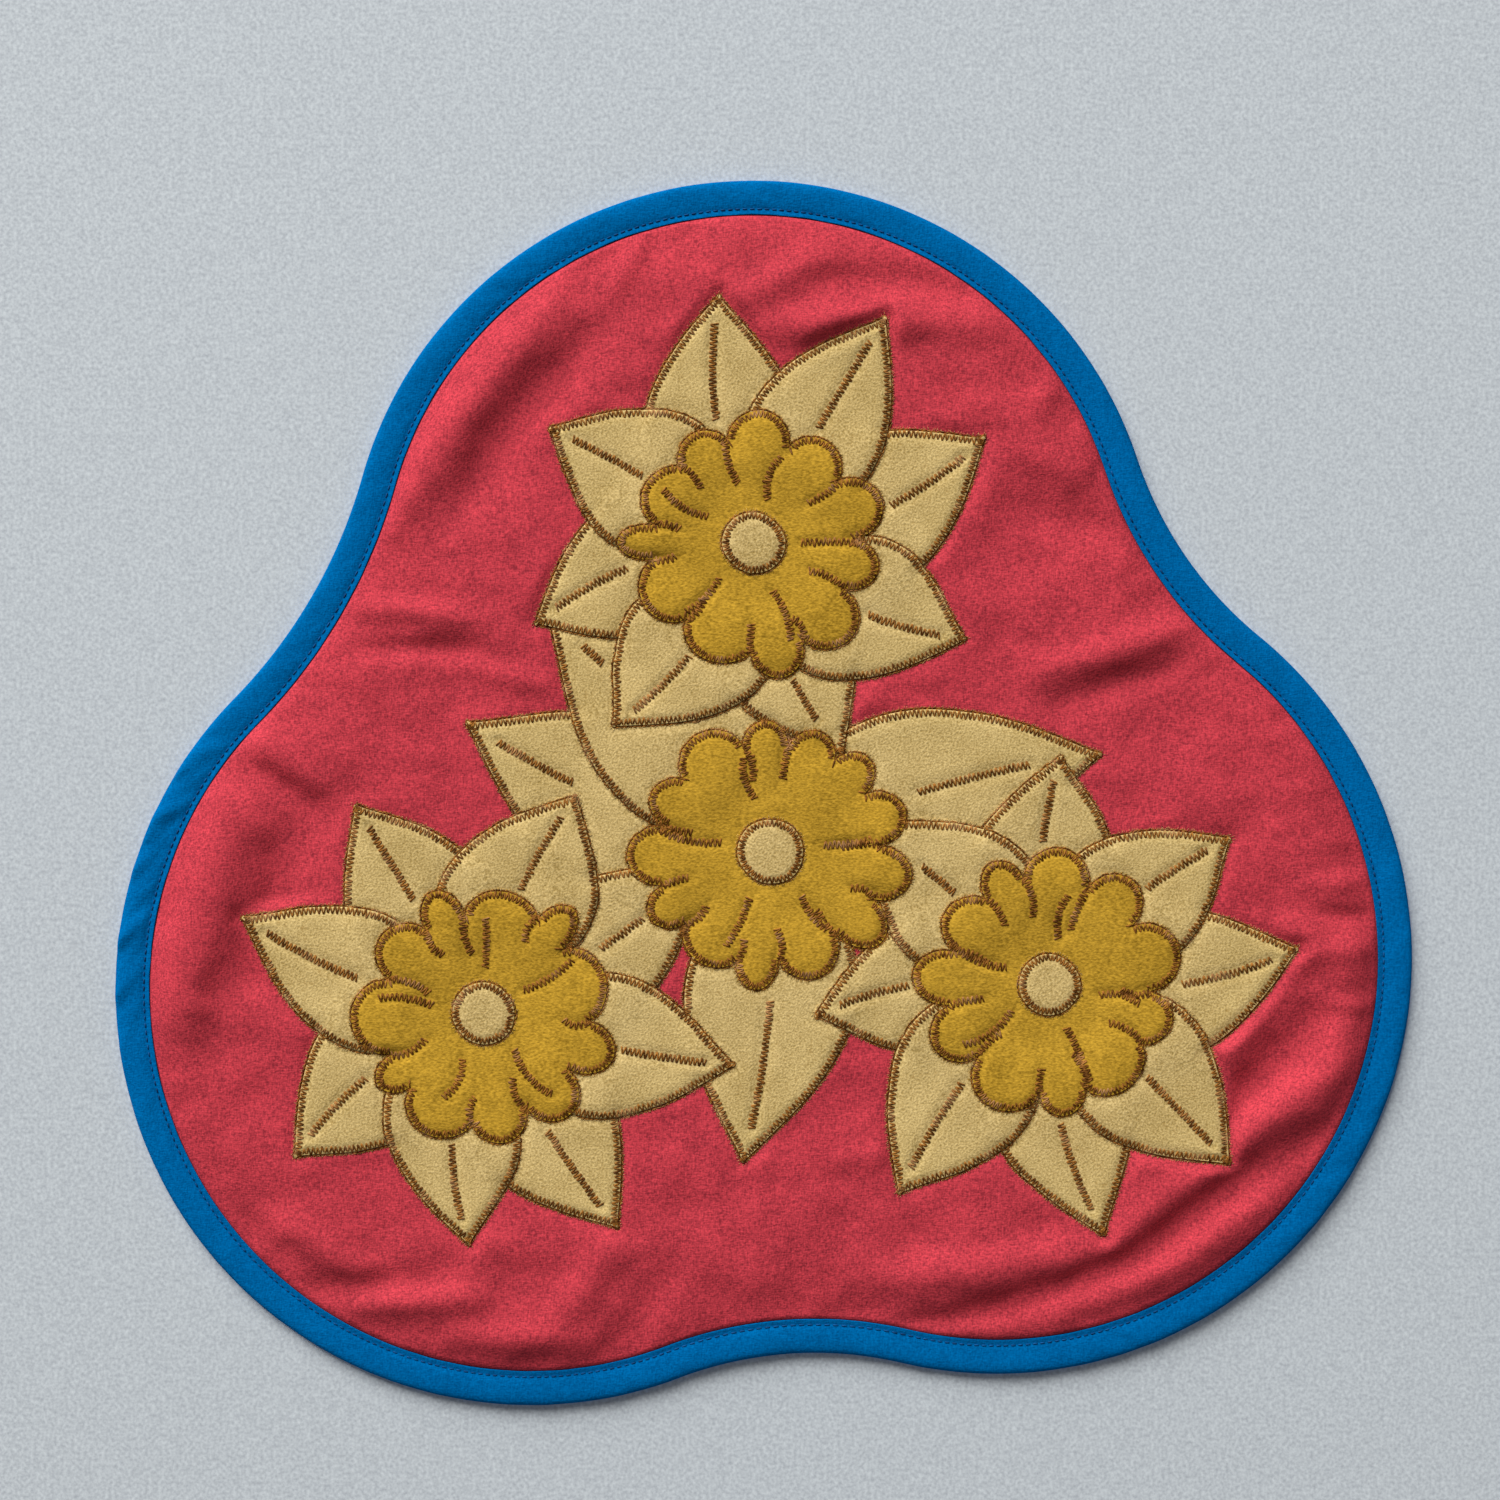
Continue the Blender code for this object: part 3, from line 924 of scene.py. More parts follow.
@dataclass
class Relief:
    """Heights over the whole quilt, on a raster that is fine enough for a sewn edge."""

    step: float = 0.5
    x0: float = -240.0
    z0: float = -204.0
    columns: int = 961
    rows: int = 905
    margin: float = 20.0
    base: float = 6.7
    lip_height: float = 3.8
    lip_inset: float = 12.4
    rise: float = 22.0
    fold_rise: float = 7.0
    most_lift: float = 4.9
    most_drop: float = 3.0
    fold_margin: float = 0.5
    fold_fade: float = 5.0
    seam_width: float = 2.2
    seam_depth: float = 0.55
    edge_pinch: float = 0.5
    pinch_width: float = 2.2
    felt_edge: float = 0.45
    cream_puff: float = 0.28
    gold_puff: float = 0.19
    puff_from: float = 1.7
    puff_reach: float = 1.5
    bridge: float = 1.6
    span: float = 3.5
    # Further in from its edge, a piece spans the hollows under it more broadly.
    broad_from: float = 1.0
    broad_reach: float = 7.0
    least_lift: float = 0.3
    least_thickness: float = 0.25
    clearance: float = 0.05
    slow_waves: tuple[Waves, ...] = (
        Waves(height=0.9, length=25, seed=3, offset=60, turn_degrees=25),
        Waves(height=0.6, length=12, seed=4, offset=60, turn_degrees=-35),
        Waves(height=0.14, length=5, seed=5, offset=60, turn_degrees=10),
    )
    wave_squash: float = 0.8
    edge_puckers: Waves = Waves(height=0.8, length=22, seed=6, offset=9, count=190, fade=11)
    bloom_puckers: Waves = Waves(height=0.32, length=16, seed=20, offset=3, count=60, fade=9)
    bloom_spread: float = 50.0

    def __post_init__(self) -> None:
        """Lay out the raster."""
        across = self.x0 + self.step * np.arange(self.columns)
        up = self.z0 + self.step * np.arange(self.rows)
        self.grid = np.stack(np.meshgrid(across, up), axis=-1)
        self.heights = np.full((self.rows, self.columns), self.base)
        self.owner = np.full((self.rows, self.columns), -1)
        self.pressed = np.zeros((self.rows, self.columns))

    def sample(
        self, values: np.ndarray, places: np.ndarray, window: tuple[slice, slice] | None = None
    ) -> np.ndarray:
        """Read a raster between its cells.

        Args:
            values: The whole raster, or a window of it.
            places: (n, 2) of places.
            window: The window that the values fill.

        Returns:
            (n,) values.
        """
        row_start = window[0].start if window else 0
        column_start = window[1].start if window else 0
        across = (places[:, 0] - self.x0) / self.step - column_start
        up = (places[:, 1] - self.z0) / self.step - row_start
        column = np.clip(np.floor(across).astype(int), 0, values.shape[1] - 2)
        row = np.clip(np.floor(up).astype(int), 0, values.shape[0] - 2)
        share_x = np.clip(across - column, 0, 1)
        share_z = np.clip(up - row, 0, 1)
        low = values[row, column] * (1 - share_x) + values[row, column + 1] * share_x
        high = values[row + 1, column] * (1 - share_x) + values[row + 1, column + 1] * share_x
        return low * (1 - share_z) + high * share_z

    def owner_at(self, places: np.ndarray) -> np.ndarray:
        """Number of the topmost applied piece at each place, or -1.

        Args:
            places: (n, 2) of places.

        Returns:
            (n,) piece numbers.
        """
        column = np.clip(np.round((places[:, 0] - self.x0) / self.step), 0, self.columns - 1)
        row = np.clip(np.round((places[:, 1] - self.z0) / self.step), 0, self.rows - 1)
        return self.owner[row.astype(int), column.astype(int)]

    def place_pieces(self, pieces: list[Applied]) -> None:
        """Find each piece's window, its depths and who lies on top at each cell.

        Args:
            pieces: The applied pieces in the order of sewing.
        """
        for number, piece in enumerate(pieces):
            low = piece.outline.min(axis=0) - self.margin
            high = piece.outline.max(axis=0) + self.margin
            columns = slice(
                max(int((low[0] - self.x0) / self.step), 0),
                min(int((high[0] - self.x0) / self.step) + 1, self.columns),
            )
            rows = slice(
                max(int((low[1] - self.z0) / self.step), 0),
                min(int((high[1] - self.z0) / self.step) + 1, self.rows),
            )
            piece.window = (rows, columns)
            cells = self.grid[piece.window].reshape(-1, 2)
            away = distance_to(cells, piece.outline, True)
            depth = np.where(is_inside(cells, piece.outline), away, -away)
            piece.depth = depth.reshape(self.grid[piece.window].shape[:2])
            self.owner[piece.window][piece.depth > 0] = number

    def apart_from(self, pieces: list[Applied]) -> np.ndarray:
        """Distance of each cell from the nearest applied piece, up to the windows' margin.

        Args:
            pieces: The applied pieces.

        Returns:
            The raster of distances, 0 on a piece.
        """
        apart = np.full((self.rows, self.columns), self.margin)
        for piece in pieces:
            shown = apart[piece.window]
            apart[piece.window] = np.minimum(shown, np.clip(-piece.depth, 0, None))
        return apart

    def lay_cloth(self, edge: QuiltEdge, pieces: list[Applied], centres: list[np.ndarray]) -> None:
        """Shape the panel's face: folds, slow waves, and puckers beside what is sewn.

        Args:
            edge: The quilt's outline.
            pieces: The applied pieces.
            centres: The middle of each blossom.
        """
        cells = self.grid.reshape(-1, 2)
        shape = self.heights.shape
        inset = edge.inset_of(cells)
        apart = self.apart_from(pieces).ravel()
        share = np.clip((apart - self.fold_margin) / self.fold_fade, 0, 1)
        fade = share ** 2 * (3 - 2 * share)
        inner = np.clip((inset - self.lip_inset) / self.rise, 0, 1)
        held = np.clip((inset - self.lip_inset) / self.fold_rise, 0, 1)
        lift = sum(fold.heights(cells) for fold in FOLDS)
        for waves in self.slow_waves:
            turn = math.radians(waves.turn_degrees)
            toward = np.array((math.cos(turn), math.sin(turn)))
            across = cells @ toward / waves.length + waves.offset
            aside = cells @ np.array((-toward[1], toward[0]))
            up = aside / (self.wave_squash * waves.length) + waves.offset
            lift = lift + waves.height * lattice_noise(across, up, waves.seed)
        waves = self.edge_puckers
        across = np.arctan2(cells[:, 1], cells[:, 0]) / math.tau * waves.count
        by_edge = lattice_noise(across, inset / waves.length + waves.offset, waves.seed, waves.count)
        from_lip = np.clip(inset - self.lip_inset, 0, None)
        lift += waves.height * by_edge * np.exp(-from_lip / waves.fade)
        waves = self.bloom_puckers
        weights = []
        puckers = []
        for number, centre in enumerate(centres):
            out = cells - centre
            across = np.arctan2(out[:, 1], out[:, 0]) / math.tau * waves.count
            up = apart / waves.length + waves.offset
            puckers.append(lattice_noise(across, up, waves.seed + number, waves.count))
            near = np.exp(-(out[:, 0] ** 2 + out[:, 1] ** 2) / self.bloom_spread ** 2)
            weights.append(near + 1e-9)
        by_bloom = sum(w * p for w, p in zip(weights, puckers)) / sum(weights)
        lift += waves.height * by_bloom * np.exp(-apart / waves.fade)
        level = self.lip_height + (self.base - self.lip_height) * inner * (2 - inner)
        ridges = self.most_lift * np.tanh(lift / self.most_lift)
        eased = np.where(lift > 0, ridges, self.most_drop * np.tanh(lift / self.most_drop))
        self.heights = (level + eased * fade * held * (2 - held)).reshape(shape)

    def lay(self, piece: Applied) -> None:
        """Lay one applied piece on what is there, and press its sewn edge and seams down.

        Args:
            piece: The piece.
        """
        pinch = self.edge_pinch * np.exp(-(piece.depth / self.pinch_width) ** 2)
        piece.sunk = self.pressed[piece.window].copy() + pinch
        self.pressed[piece.window] += pinch
        floor = self.heights[piece.window] - pinch
        piece.under = floor
        close = np.maximum(blurred(floor, self.bridge / self.step), floor)
        crowned = highest(floor, int(self.span / self.step))
        broad = np.maximum(blurred(crowned, self.span / self.step), close)
        share = np.clip((piece.depth - self.broad_from) / self.broad_reach, 0, 1)
        smooth = close + (broad - close) * share ** 2 * (3 - 2 * share)
        inner = np.clip((piece.depth - self.puff_from) / self.puff_reach, 0, 1)
        puff = self.gold_puff if piece.felt is Felt.GOLD else self.cream_puff
        top = smooth + self.felt_edge + puff * inner * (2 - inner)
        cells = self.grid[piece.window].reshape(-1, 2)
        for seam in piece.seams:
            away = distance_to(cells, seam, False).reshape(top.shape)
            top = top - self.seam_depth * np.exp(-(away / self.seam_width) ** 4)
        piece.top = np.maximum(top, floor + self.least_lift)
        self.heights[piece.window] = np.where(piece.depth > 0, piece.top, floor)

    def surface_of(self, piece: Applied, places: np.ndarray) -> tuple[np.ndarray, np.ndarray]:
        """Heights of a laid piece's face and underside, with all later sewing pressed in.

        Args:
            piece: The piece.
            places: (n, 2) of places.

        Returns:
            (n,) heights of the face and (n,) heights of the underside.
        """
        later = self.pressed[piece.window] - piece.sunk
        face = self.sample(piece.top - later, places, piece.window)
        under = self.sample(piece.under - later, places, piece.window)
        return face, np.minimum(under + self.clearance, face - self.least_thickness)


@dataclass(frozen=True)
class HandCut:
    """How unevenly a blossom is cut and sewn by hand.

    A turn is in degrees, a bend in radians, and a waver or a bow in millimetres. The rest are
    counts, or shares of the head's radius or of the even shape.
    """

    petal_turn: float = 3.0
    petal_reach: tuple[float, float] = (0.9, 1.06)
    petal_width: tuple[float, float] = (0.92, 1.06)
    petal_bend: float = 0.3
    petal_waver: float = 0.5
    wavers: float = 7.0
    vein: tuple[float, float] = (0.3, 0.9)
    valley_wander: float = 0.22
    valleys: tuple[float, float] = (0.76, 0.86)
    crests: tuple[float, float] = (0.96, 1.08)
    scallop_fullness: float = 0.6
    cut_odds: float = 0.8
    cut_start: float = 0.03
    cut_lengths: tuple[float, float] = (0.16, 0.34)
    cut_bow: float = 4.0
    head_veins: int = 5
    vein_wander: float = 0.2
    vein_starts: tuple[float, float] = (0.7, 0.86)
    vein_ends: tuple[float, float] = (0.34, 0.42)
    vein_bow: float = 5.0
    eye_waver: float = 0.05
    eye_wavers: int = 8


@dataclass(frozen=True)
class Bloom:
    """One blossom: pointed petals, a scalloped head over their roots, and a round eye.

    The outlines follow the solids', with more points and a hand-cut waver along the petals.
    """

    name: str
    x: float
    z: float
    head: float
    reach: float
    half_width: float
    petals: int
    scallops: int
    turn: float
    seed: int
    level: int
    left_out: tuple[int, ...] = ()
    head_level: int = 4
    eye_share: float = 0.24
    root_share: float = 0.55
    rise: float = 0.85
    fall: float = 1.15
    hidden_share: float = 0.25
    bend_from: float = 0.35
    tip_width: float = 0.5
    rows: int = 58
    columns: int = 26
    crowding: float = 0.05
    scallop_steps: int = 15
    rings: int = 22
    ray_steps: int = 14
    eye_steps: int = 90
    eye_rings: int = 9
    hand: HandCut = HandCut()

    def centre(self) -> np.ndarray:
        """The blossom's middle on the quilt."""
        return np.array((self.x, self.z))

    def petal(self, index: int, angle: float, reach: float, half_width: float, bend: float) -> Applied:
        """Lay out one petal as a grid of rows from its root to its tip.

        Args:
            index: The petal's number, from 0.
            angle: Its direction in radians.
            reach: How far its tip lies from the blossom's middle.
            half_width: Half its greatest width.
            bend: How far it curves, in radians.

        Returns:
            The petal.
        """
        root = self.head * self.root_share
        share = np.linspace(0, 1, self.rows + 1)
        u = (share + self.hidden_share) / (1 + self.hidden_share)
        peak = self.rise / (self.rise + self.fall)
        widest = peak ** self.rise * (1 - peak) ** self.fall
        width = half_width * u ** self.rise * (1 - u) ** self.fall / widest
        heading = angle + bend * (share - self.bend_from)
        along = root + (reach - root) * share
        middle = np.column_stack((np.cos(heading), np.sin(heading))) * along[:, None] + self.centre()
        left = np.column_stack((-np.sin(heading), np.cos(heading)))
        # Each petal reads its own stretch of the noise, and each side its own row.
        steps = share * self.hand.wavers + 11 * index
        waver = [
            self.hand.petal_waver * lattice_noise(steps, np.full(len(share), row), self.seed)
            for row in (1.5, 4.5)
        ]
        right_width = np.maximum(width + waver[0] * np.sin(math.pi * share), self.tip_width)
        left_width = np.maximum(width + waver[1] * np.sin(math.pi * share), self.tip_width)
        step = np.linspace(0, 1, self.columns + 1)
        # Columns stand closer along the edges and along the vein in the middle.
        across = 2 * (step - self.crowding * np.sin(4 * math.pi * step)) - 1
        aside = np.where(across < 0, right_width[:, None] * across, left_width[:, None] * across)
        points = middle[:, None] + left[:, None] * aside[:, :, None]
        numbers = np.arange((self.rows + 1) * (self.columns + 1)).reshape(self.rows + 1, -1)
        faces = np.stack(
            (numbers[:-1, :-1], numbers[1:, :-1], numbers[1:, 1:], numbers[:-1, 1:]), axis=-1
        )
        rim = np.concatenate(
            (numbers[:-1, 0], numbers[-1, :-1], numbers[:0:-1, -1], numbers[0, :0:-1])
        )
        flat_points = points.reshape(-1, 2)
        vein_start, vein_end = (int(part * self.rows) for part in self.hand.vein)
        name = f"{self.name}_petal_{index + 1}"
        return Applied(
            name=f"{name}_cloth",
            node=name,
            level=self.level + index % 2,
            felt=Felt.CREAM,
            outline=flat_points[rim],
            points=flat_points,
            faces=[faces.reshape(-1, 4)],
            rim=rim,
            seams=[middle[vein_start:vein_end]],
            flat=(2 * half_width * MM, (reach - root) * MM),
        )

    def disc(self, name: str, level: int, felt: Felt, rim: np.ndarray, rings: int) -> Applied:
        """Lay out a piece that is cut round the blossom's middle, as rings of points.

        Args:
            name: The node's name.
            level: Its place in the order of sewing.
            felt: Its colour.
            rim: (n, 2) of places round its edge, from the blossom's middle.
            rings: How many rings lie between the middle and the edge.

        Returns:
            The piece.
        """
        count = len(rim)
        shares = np.sin(np.linspace(0, math.pi / 2, rings + 1))[1:]
        points = np.concatenate(([[0.0, 0.0]], (shares[:, None, None] * rim).reshape(-1, 2)))
        numbers = 1 + np.arange(rings * count).reshape(rings, count)
        fan = np.column_stack((np.zeros(count, int), numbers[0], np.roll(numbers[0], -1)))
        bands = [ring_band(outer, inner) for inner, outer in zip(numbers, numbers[1:])]
        reach = float(np.linalg.norm(rim, axis=1).max())
        return Applied(
            name=f"{name}_cloth",
            node=name,
            level=level,
            felt=felt,
            outline=rim + self.centre(),
            points=points + self.centre(),
            faces=[fan, np.concatenate(bands)],
            rim=numbers[-1],
            seams=[],
            flat=(2 * reach * MM, 2 * reach * MM),
        )

    def head_piece(self) -> Applied:
        """Lay out the head: uneven scallops, a sewn cut at most valleys, and a few sewn veins.

        Returns:
            The head.
        """
        chance = random.Random(self.seed)
        hand = self.hand
        count = self.scallops
        wander = hand.valley_wander
        cuts = [math.tau * (k + chance.uniform(-wander, wander)) / count for k in range(count)]
        depths = [chance.uniform(*hand.valleys) for _ in cuts]
        crests = [chance.uniform(*hand.crests) for _ in cuts]
        rim = []
        for index in range(count):
            following = (index + 1) % count
            sweep = (cuts[following] - cuts[index]) % math.tau
            for step in range(self.scallop_steps):
                share = step / self.scallop_steps
                valley = depths[index] + (depths[following] - depths[index]) * share
                bulge = math.sin(math.pi * share) ** hand.scallop_fullness
                radius = self.head * (valley + (crests[index] - valley) * bulge)
                theta = cuts[index] + sweep * share
                rim.append((radius * math.cos(theta), radius * math.sin(theta)))
        head = self.disc(
            f"{self.name}_head", self.head_level, Felt.GOLD, np.array(rim), self.rings
        )
        for index, cut in enumerate(cuts):
            if chance.random() < hand.cut_odds:
                outer = depths[index] + hand.cut_start
                inner = depths[index] - chance.uniform(*hand.cut_lengths)
                bow = chance.uniform(-hand.cut_bow, hand.cut_bow)
                head.seams.append(self.ray(cut, outer, inner, bow))
        for number in range(hand.head_veins):
            share = (number + chance.uniform(-hand.vein_wander, hand.vein_wander)) / hand.head_veins
            outer = chance.uniform(*hand.vein_starts)
            inner = chance.uniform(*hand.vein_ends)
            bow = chance.uniform(-hand.vein_bow, hand.vein_bow)
            theta = math.tau * share + math.radians(self.turn)
            head.seams.append(self.ray(theta, outer, inner, bow))
        return head

    def ray(self, theta: float, outer: float, inner: float, bow: float) -> np.ndarray:
        """A seam that runs towards the blossom's middle and bows a little to one side.

        Args:
            theta: Its direction in radians.
            outer: Where it starts, as a share of the head's radius.
            inner: Where it ends, as a share of the head's radius.
            bow: How far its middle stands aside.

        Returns:
            (n, 2) of places.
        """
        share = np.linspace(0, 1, self.ray_steps)
        along = self.head * (outer + (inner - outer) * share)
        aside = bow * share * (1 - share) * 2
        toward = np.array((math.cos(theta), math.sin(theta)))
        left = np.array((-toward[1], toward[0]))
        return self.centre() + along[:, None] * toward + aside[:, None] * left

    def pieces(self) -> list[Applied]:
        """All of the blossom's pieces that are sewn on.

        Returns:
            The petals, the head and the eye.
        """
        chance = random.Random(self.seed)
        hand = self.hand
        made = []
        for index in range(self.petals):
            even_turn = self.turn + 360 * index / self.petals
            turn = even_turn + chance.uniform(-hand.petal_turn, hand.petal_turn)
            reach = self.reach * chance.uniform(*hand.petal_reach)
            half_width = self.half_width * chance.uniform(*hand.petal_width)
            bend = chance.uniform(-hand.petal_bend, hand.petal_bend)
            if index not in self.left_out:
                made.append(self.petal(index, math.radians(turn), reach, half_width, bend))
        made.append(self.head_piece())
        theta = np.linspace(0, math.tau, self.eye_steps, endpoint=False)
        across = theta / math.tau * hand.eye_wavers
        waver = lattice_noise(across, theta * 0, self.seed, hand.eye_wavers)
        radius = self.head * self.eye_share * (1 + hand.eye_waver * waver)
        rim = np.column_stack((np.cos(theta), np.sin(theta))) * radius[:, None]
        eye = self.disc(
            f"{self.name}_eye", self.head_level + 1, Felt.CREAM, rim, self.eye_rings
        )
        made.append(eye)
        return made


BLOOMS = (
    Bloom("middle", 2, 3, 47, 118, 30, 10, 13, 20, 6, 0, left_out=(1, 2, 5, 6, 8, 9)),
    Bloom("upper", -4, 112, 45, 88, 26, 8, 11, 14, 5, 2),
    Bloom("left", -99, -54, 45, 89, 26, 8, 11, 31, 8, 2),
    Bloom("right", 100, -44, 45, 88, 26, 8, 11, 2, 13, 2),
)


@dataclass
class Panel:
    """The quilted ground: folded red cotton at the front, plain cotton at the back."""

    edge: QuiltEdge
    relief: Relief
    ground: np.ndarray
    rings: int = 130
    back_rings: int = 65
    # The outermost rings lie close together, where the cloth dives under the binding.
    lip_insets: tuple[float, ...] = (13.1, 12.6, 11.8, 3.0)
    tucked_heights: tuple[float, ...] = (3.1, 2.9, 2.0)
    back_height: float = 0.7
    back_waves: Waves = Waves(height=0.9, length=24, seed=31, offset=50)
    back_squash: float = 0.875

    def spread_points(self, rings: int) -> tuple[np.ndarray, np.ndarray]:
        """Spread a square grid's rings over the outline.

        Args:
            rings: How many rings lie round the middle. The last lies at the panel's edge.

        Returns:
            (n, 2) of places, and (n,) of ring numbers.
        """
        span = np.arange(-rings, rings + 1)
        column, row = (axis.ravel() for axis in np.meshgrid(span, span))
        wide = np.abs(column) >= np.abs(row)
        quarter = np.where(wide, np.where(column > 0, 0, 2), np.where(row > 0, 1, 3))
        along = np.where(wide, np.where(column > 0, row, -row), np.where(row > 0, -column, column))
        ring = np.maximum(np.abs(column), np.abs(row))
        theta = (quarter + along / (2 * np.maximum(ring, 1))) * math.pi / 2
        first = rings + 1 - len(self.lip_insets)
        places = self.edge.points(theta, self.lip_insets[0]) * (ring / first)[:, None]
        for number, inset in enumerate(self.lip_insets[1:], first + 1):
            places = np.where((ring == number)[:, None], self.edge.points(theta, inset), places)
        return places, ring

    def rim_numbers(self, rings: int) -> np.ndarray:
        """Number the points of a grid's outermost ring, anticlockwise from its right middle.

        Args:
            rings: How many rings the grid has.

        Returns:
            (n,) of point numbers.
        """
        numbers = np.arange((2 * rings + 1) ** 2).reshape(2 * rings + 1, -1)
        loop = np.concatenate(
            (numbers[:-1, -1], numbers[-1, :0:-1], numbers[:0:-1, 0], numbers[0, :-1])
        )
        return np.roll(loop, -rings)

    def grid_faces(self, rings: int) -> np.ndarray:
        """List a grid's faces, anticlockwise as the viewer sees them.

        Args:
            rings: How many rings the grid has.

        Returns:
            (n, 4) of point numbers.
        """
        numbers = np.arange((2 * rings + 1) ** 2).reshape(2 * rings + 1, -1)
        faces = (numbers[:-1, :-1], numbers[:-1, 1:], numbers[1:, 1:], numbers[1:, :-1])
        return np.stack(faces, axis=-1).reshape(-1, 4)

    def build(self, material: bpy.types.Material) -> bpy.types.Object:
        """Make the panel.

        Args:
            material: Its cotton.

        Returns:
            The new object.
        """
        front, ring = self.spread_points(self.rings)
        heights = self.relief.sample(self.ground, front)
        for number, height in enumerate(reversed(self.tucked_heights)):
            heights = np.where(ring == self.rings - number, height, heights)
        back, _ = self.spread_points(self.back_rings)
        waves = self.back_waves
        across = back[:, 0] / waves.length + waves.offset
        up = back[:, 1] / (self.back_squash * waves.length) + waves.offset
        back_lift = waves.height * np.abs(lattice_noise(across, up, waves.seed))
        back_heights = self.back_height + back_lift
        places = np.concatenate((to_row(front, heights), to_row(back, back_heights)))
        front_rim = self.rim_numbers(self.rings)
        back_rim = self.rim_numbers(self.back_rings) + len(front)
        between = front_rim[1::2]
        first = front_rim[::2]
        band = [
            np.column_stack((back_rim, np.roll(back_rim, -1), between)),
            np.column_stack((back_rim, between, first)),
            np.column_stack((np.roll(back_rim, -1), np.roll(first, -1), between)),
        ]
        back_faces = self.grid_faces(self.back_rings)[:, ::-1] + len(front)
        faces = [self.grid_faces(self.rings), back_faces, np.concatenate(band)]
        return make_piece("ground_cloth", places, faces, material)


@dataclass
class Binding:
    """The folded blue strip that wraps the panel's edge, with the groove that its stitches pull.

    The section starts under the lip and runs through the channel that holds the panel's edge,
    along the back on the wall, round the outside, and over the face to the lip. Each of its
    points is an inset from the quilt's edge and a height.
    """

    edge: QuiltEdge
    spacing: float = 0.95
    back: tuple[tuple[float, float], ...] = (
        (12.5, 3.3), (2.6, 2.8), (2.6, 0.5), (12.5, 0.65), (12.5, 0.3), (12.1, 0.05), (11.3, 0.05),
        (10.9, 0.25), (10.5, 0.42), (10.1, 0.25), (9.6, 0.05), (7.0, 0.0), (1.2, 0.0), (0.5, 0.15),
        (0.12, 0.45), (0.0, 0.9), (0.0, 1.5),
    )
    face: tuple[tuple[float, float], ...] = (
        (0.1, 2.05), (0.28, 2.6), (0.55, 3.1), (1.0, 3.55), (1.6, 3.83), (2.3, 4.0), (3.2, 4.12),
        (4.2, 4.18), (5.2, 4.18), (6.4, 4.12), (7.5, 4.04), (8.6, 3.93), (9.5, 3.8), (10.1, 3.66),
        (10.5, 3.58), (10.9, 3.62), (11.4, 3.71), (11.9, 3.8), (12.3, 3.86), (12.5, 3.84),
    )
    stitch_inset: float = 10.5
    stitch_pitch: float = 2.8
    stitch_length: float = 2.0
    back_stitch_height: float = 0.2
    # The cloth is cut on the bias, so its small creases run aslant.
    slant: float = 1.1
    creases: Waves = Waves(height=0.2, length=6.5, seed=41)
    crease_width: float = 9.0
    # They are deepest at the left, where the strip is eased round the tightest bend.
    eased_height: float = 0.75
    eased_at_degrees: float = 176.0
    eased_reach_degrees: float = 10.0
    # They fade towards the lip, where the stitching holds the strip.
    calm_inset: float = 11.0
    calm_reach: float = 3.0
    least_crease: float = 0.25
    swells: Waves = Waves(height=0.1, seed=42, count=40)
    pull: float = 0.16
    pull_width: float = 0.7
    lip_sways: Waves = Waves(height=0.12, seed=43, count=200)
    lip_from: float = 10.0

    def face_lifts(self, along: np.ndarray, inset: float, depth: np.ndarray) -> np.ndarray:
        """How far the creases, swells and stitches move one line of the face.

        Args:
            along: (n,) distances along the edge.
            inset: How far inside the edge the line lies.
            depth: (n,) depths of the creases.

        Returns:
            (n,) heights to add.
        """
        whole = len(along) * self.spacing
        period = int(round(whole / self.creases.length))
        cells = (along + inset * self.slant) / whole * period
        across = np.full(len(along), inset / self.crease_width)
        crease = lattice_noise(cells, across, self.creases.seed, period)
        swells = self.swells
        swell = lattice_noise(along / whole * swells.count, along * 0, swells.seed, swells.count)
        calm = min(max((self.calm_inset - inset) / self.calm_reach, self.least_crease), 1.0)
        pulled = np.exp(-((inset - self.stitch_inset) / self.pull_width) ** 2)
        beat = 0.5 + 0.5 * np.cos(along * math.tau / self.stitch_pitch)
        return (depth * crease + swells.height * swell) * calm - self.pull * pulled * beat

    def build(self, material: bpy.types.Material) -> bpy.types.Object:
        """Make the binding.

        Args:
            material: Its cotton.

        Returns:
            The new object.
        """
        path, out = self.edge.walk(self.spacing)
        count = len(path)
        along = np.arange(count) * self.spacing
        eased_at = math.radians(self.eased_at_degrees)
        from_eased = np.abs(np.arctan2(path[:, 1], path[:, 0])) - eased_at
        eased = np.exp(-(from_eased / math.radians(self.eased_reach_degrees)) ** 2)
        depth = self.creases.height + self.eased_height * eased
        sways = self.lip_sways
        across = along / (count * self.spacing) * sways.count
        sway = sways.height * lattice_noise(across, along * 0, sways.seed, sways.count)
        loops = [to_row(path - out * inset, np.full(count, height)) for inset, height in self.back]
        for inset, height in self.face:
            lifts = self.face_lifts(along, inset, depth)
            inner = inset + (sway if inset > self.lip_from else np.zeros(count))
            loops.append(to_row(path - out * inner[:, None], height + lifts))
        places = np.concatenate(loops)
        numbers = np.arange(len(places)).reshape(len(loops), count)
        bands = [
            ring_band(first, second)
            for first, second in zip(numbers, np.roll(numbers, -1, axis=0))
        ]
        faces = [np.concatenate(bands)]
        return make_piece("binding_cloth", places, faces, material)

    def length(self) -> float:
        """Length of the strip round the edge."""
        path, _ = self.edge.walk(self.spacing)
        return len(path) * self.spacing

    def height_at(self, inset: float) -> float:
        """Height of the binding's face at an inset."""
        insets, heights = zip(*self.face)
        return float(np.interp(inset, insets, heights))


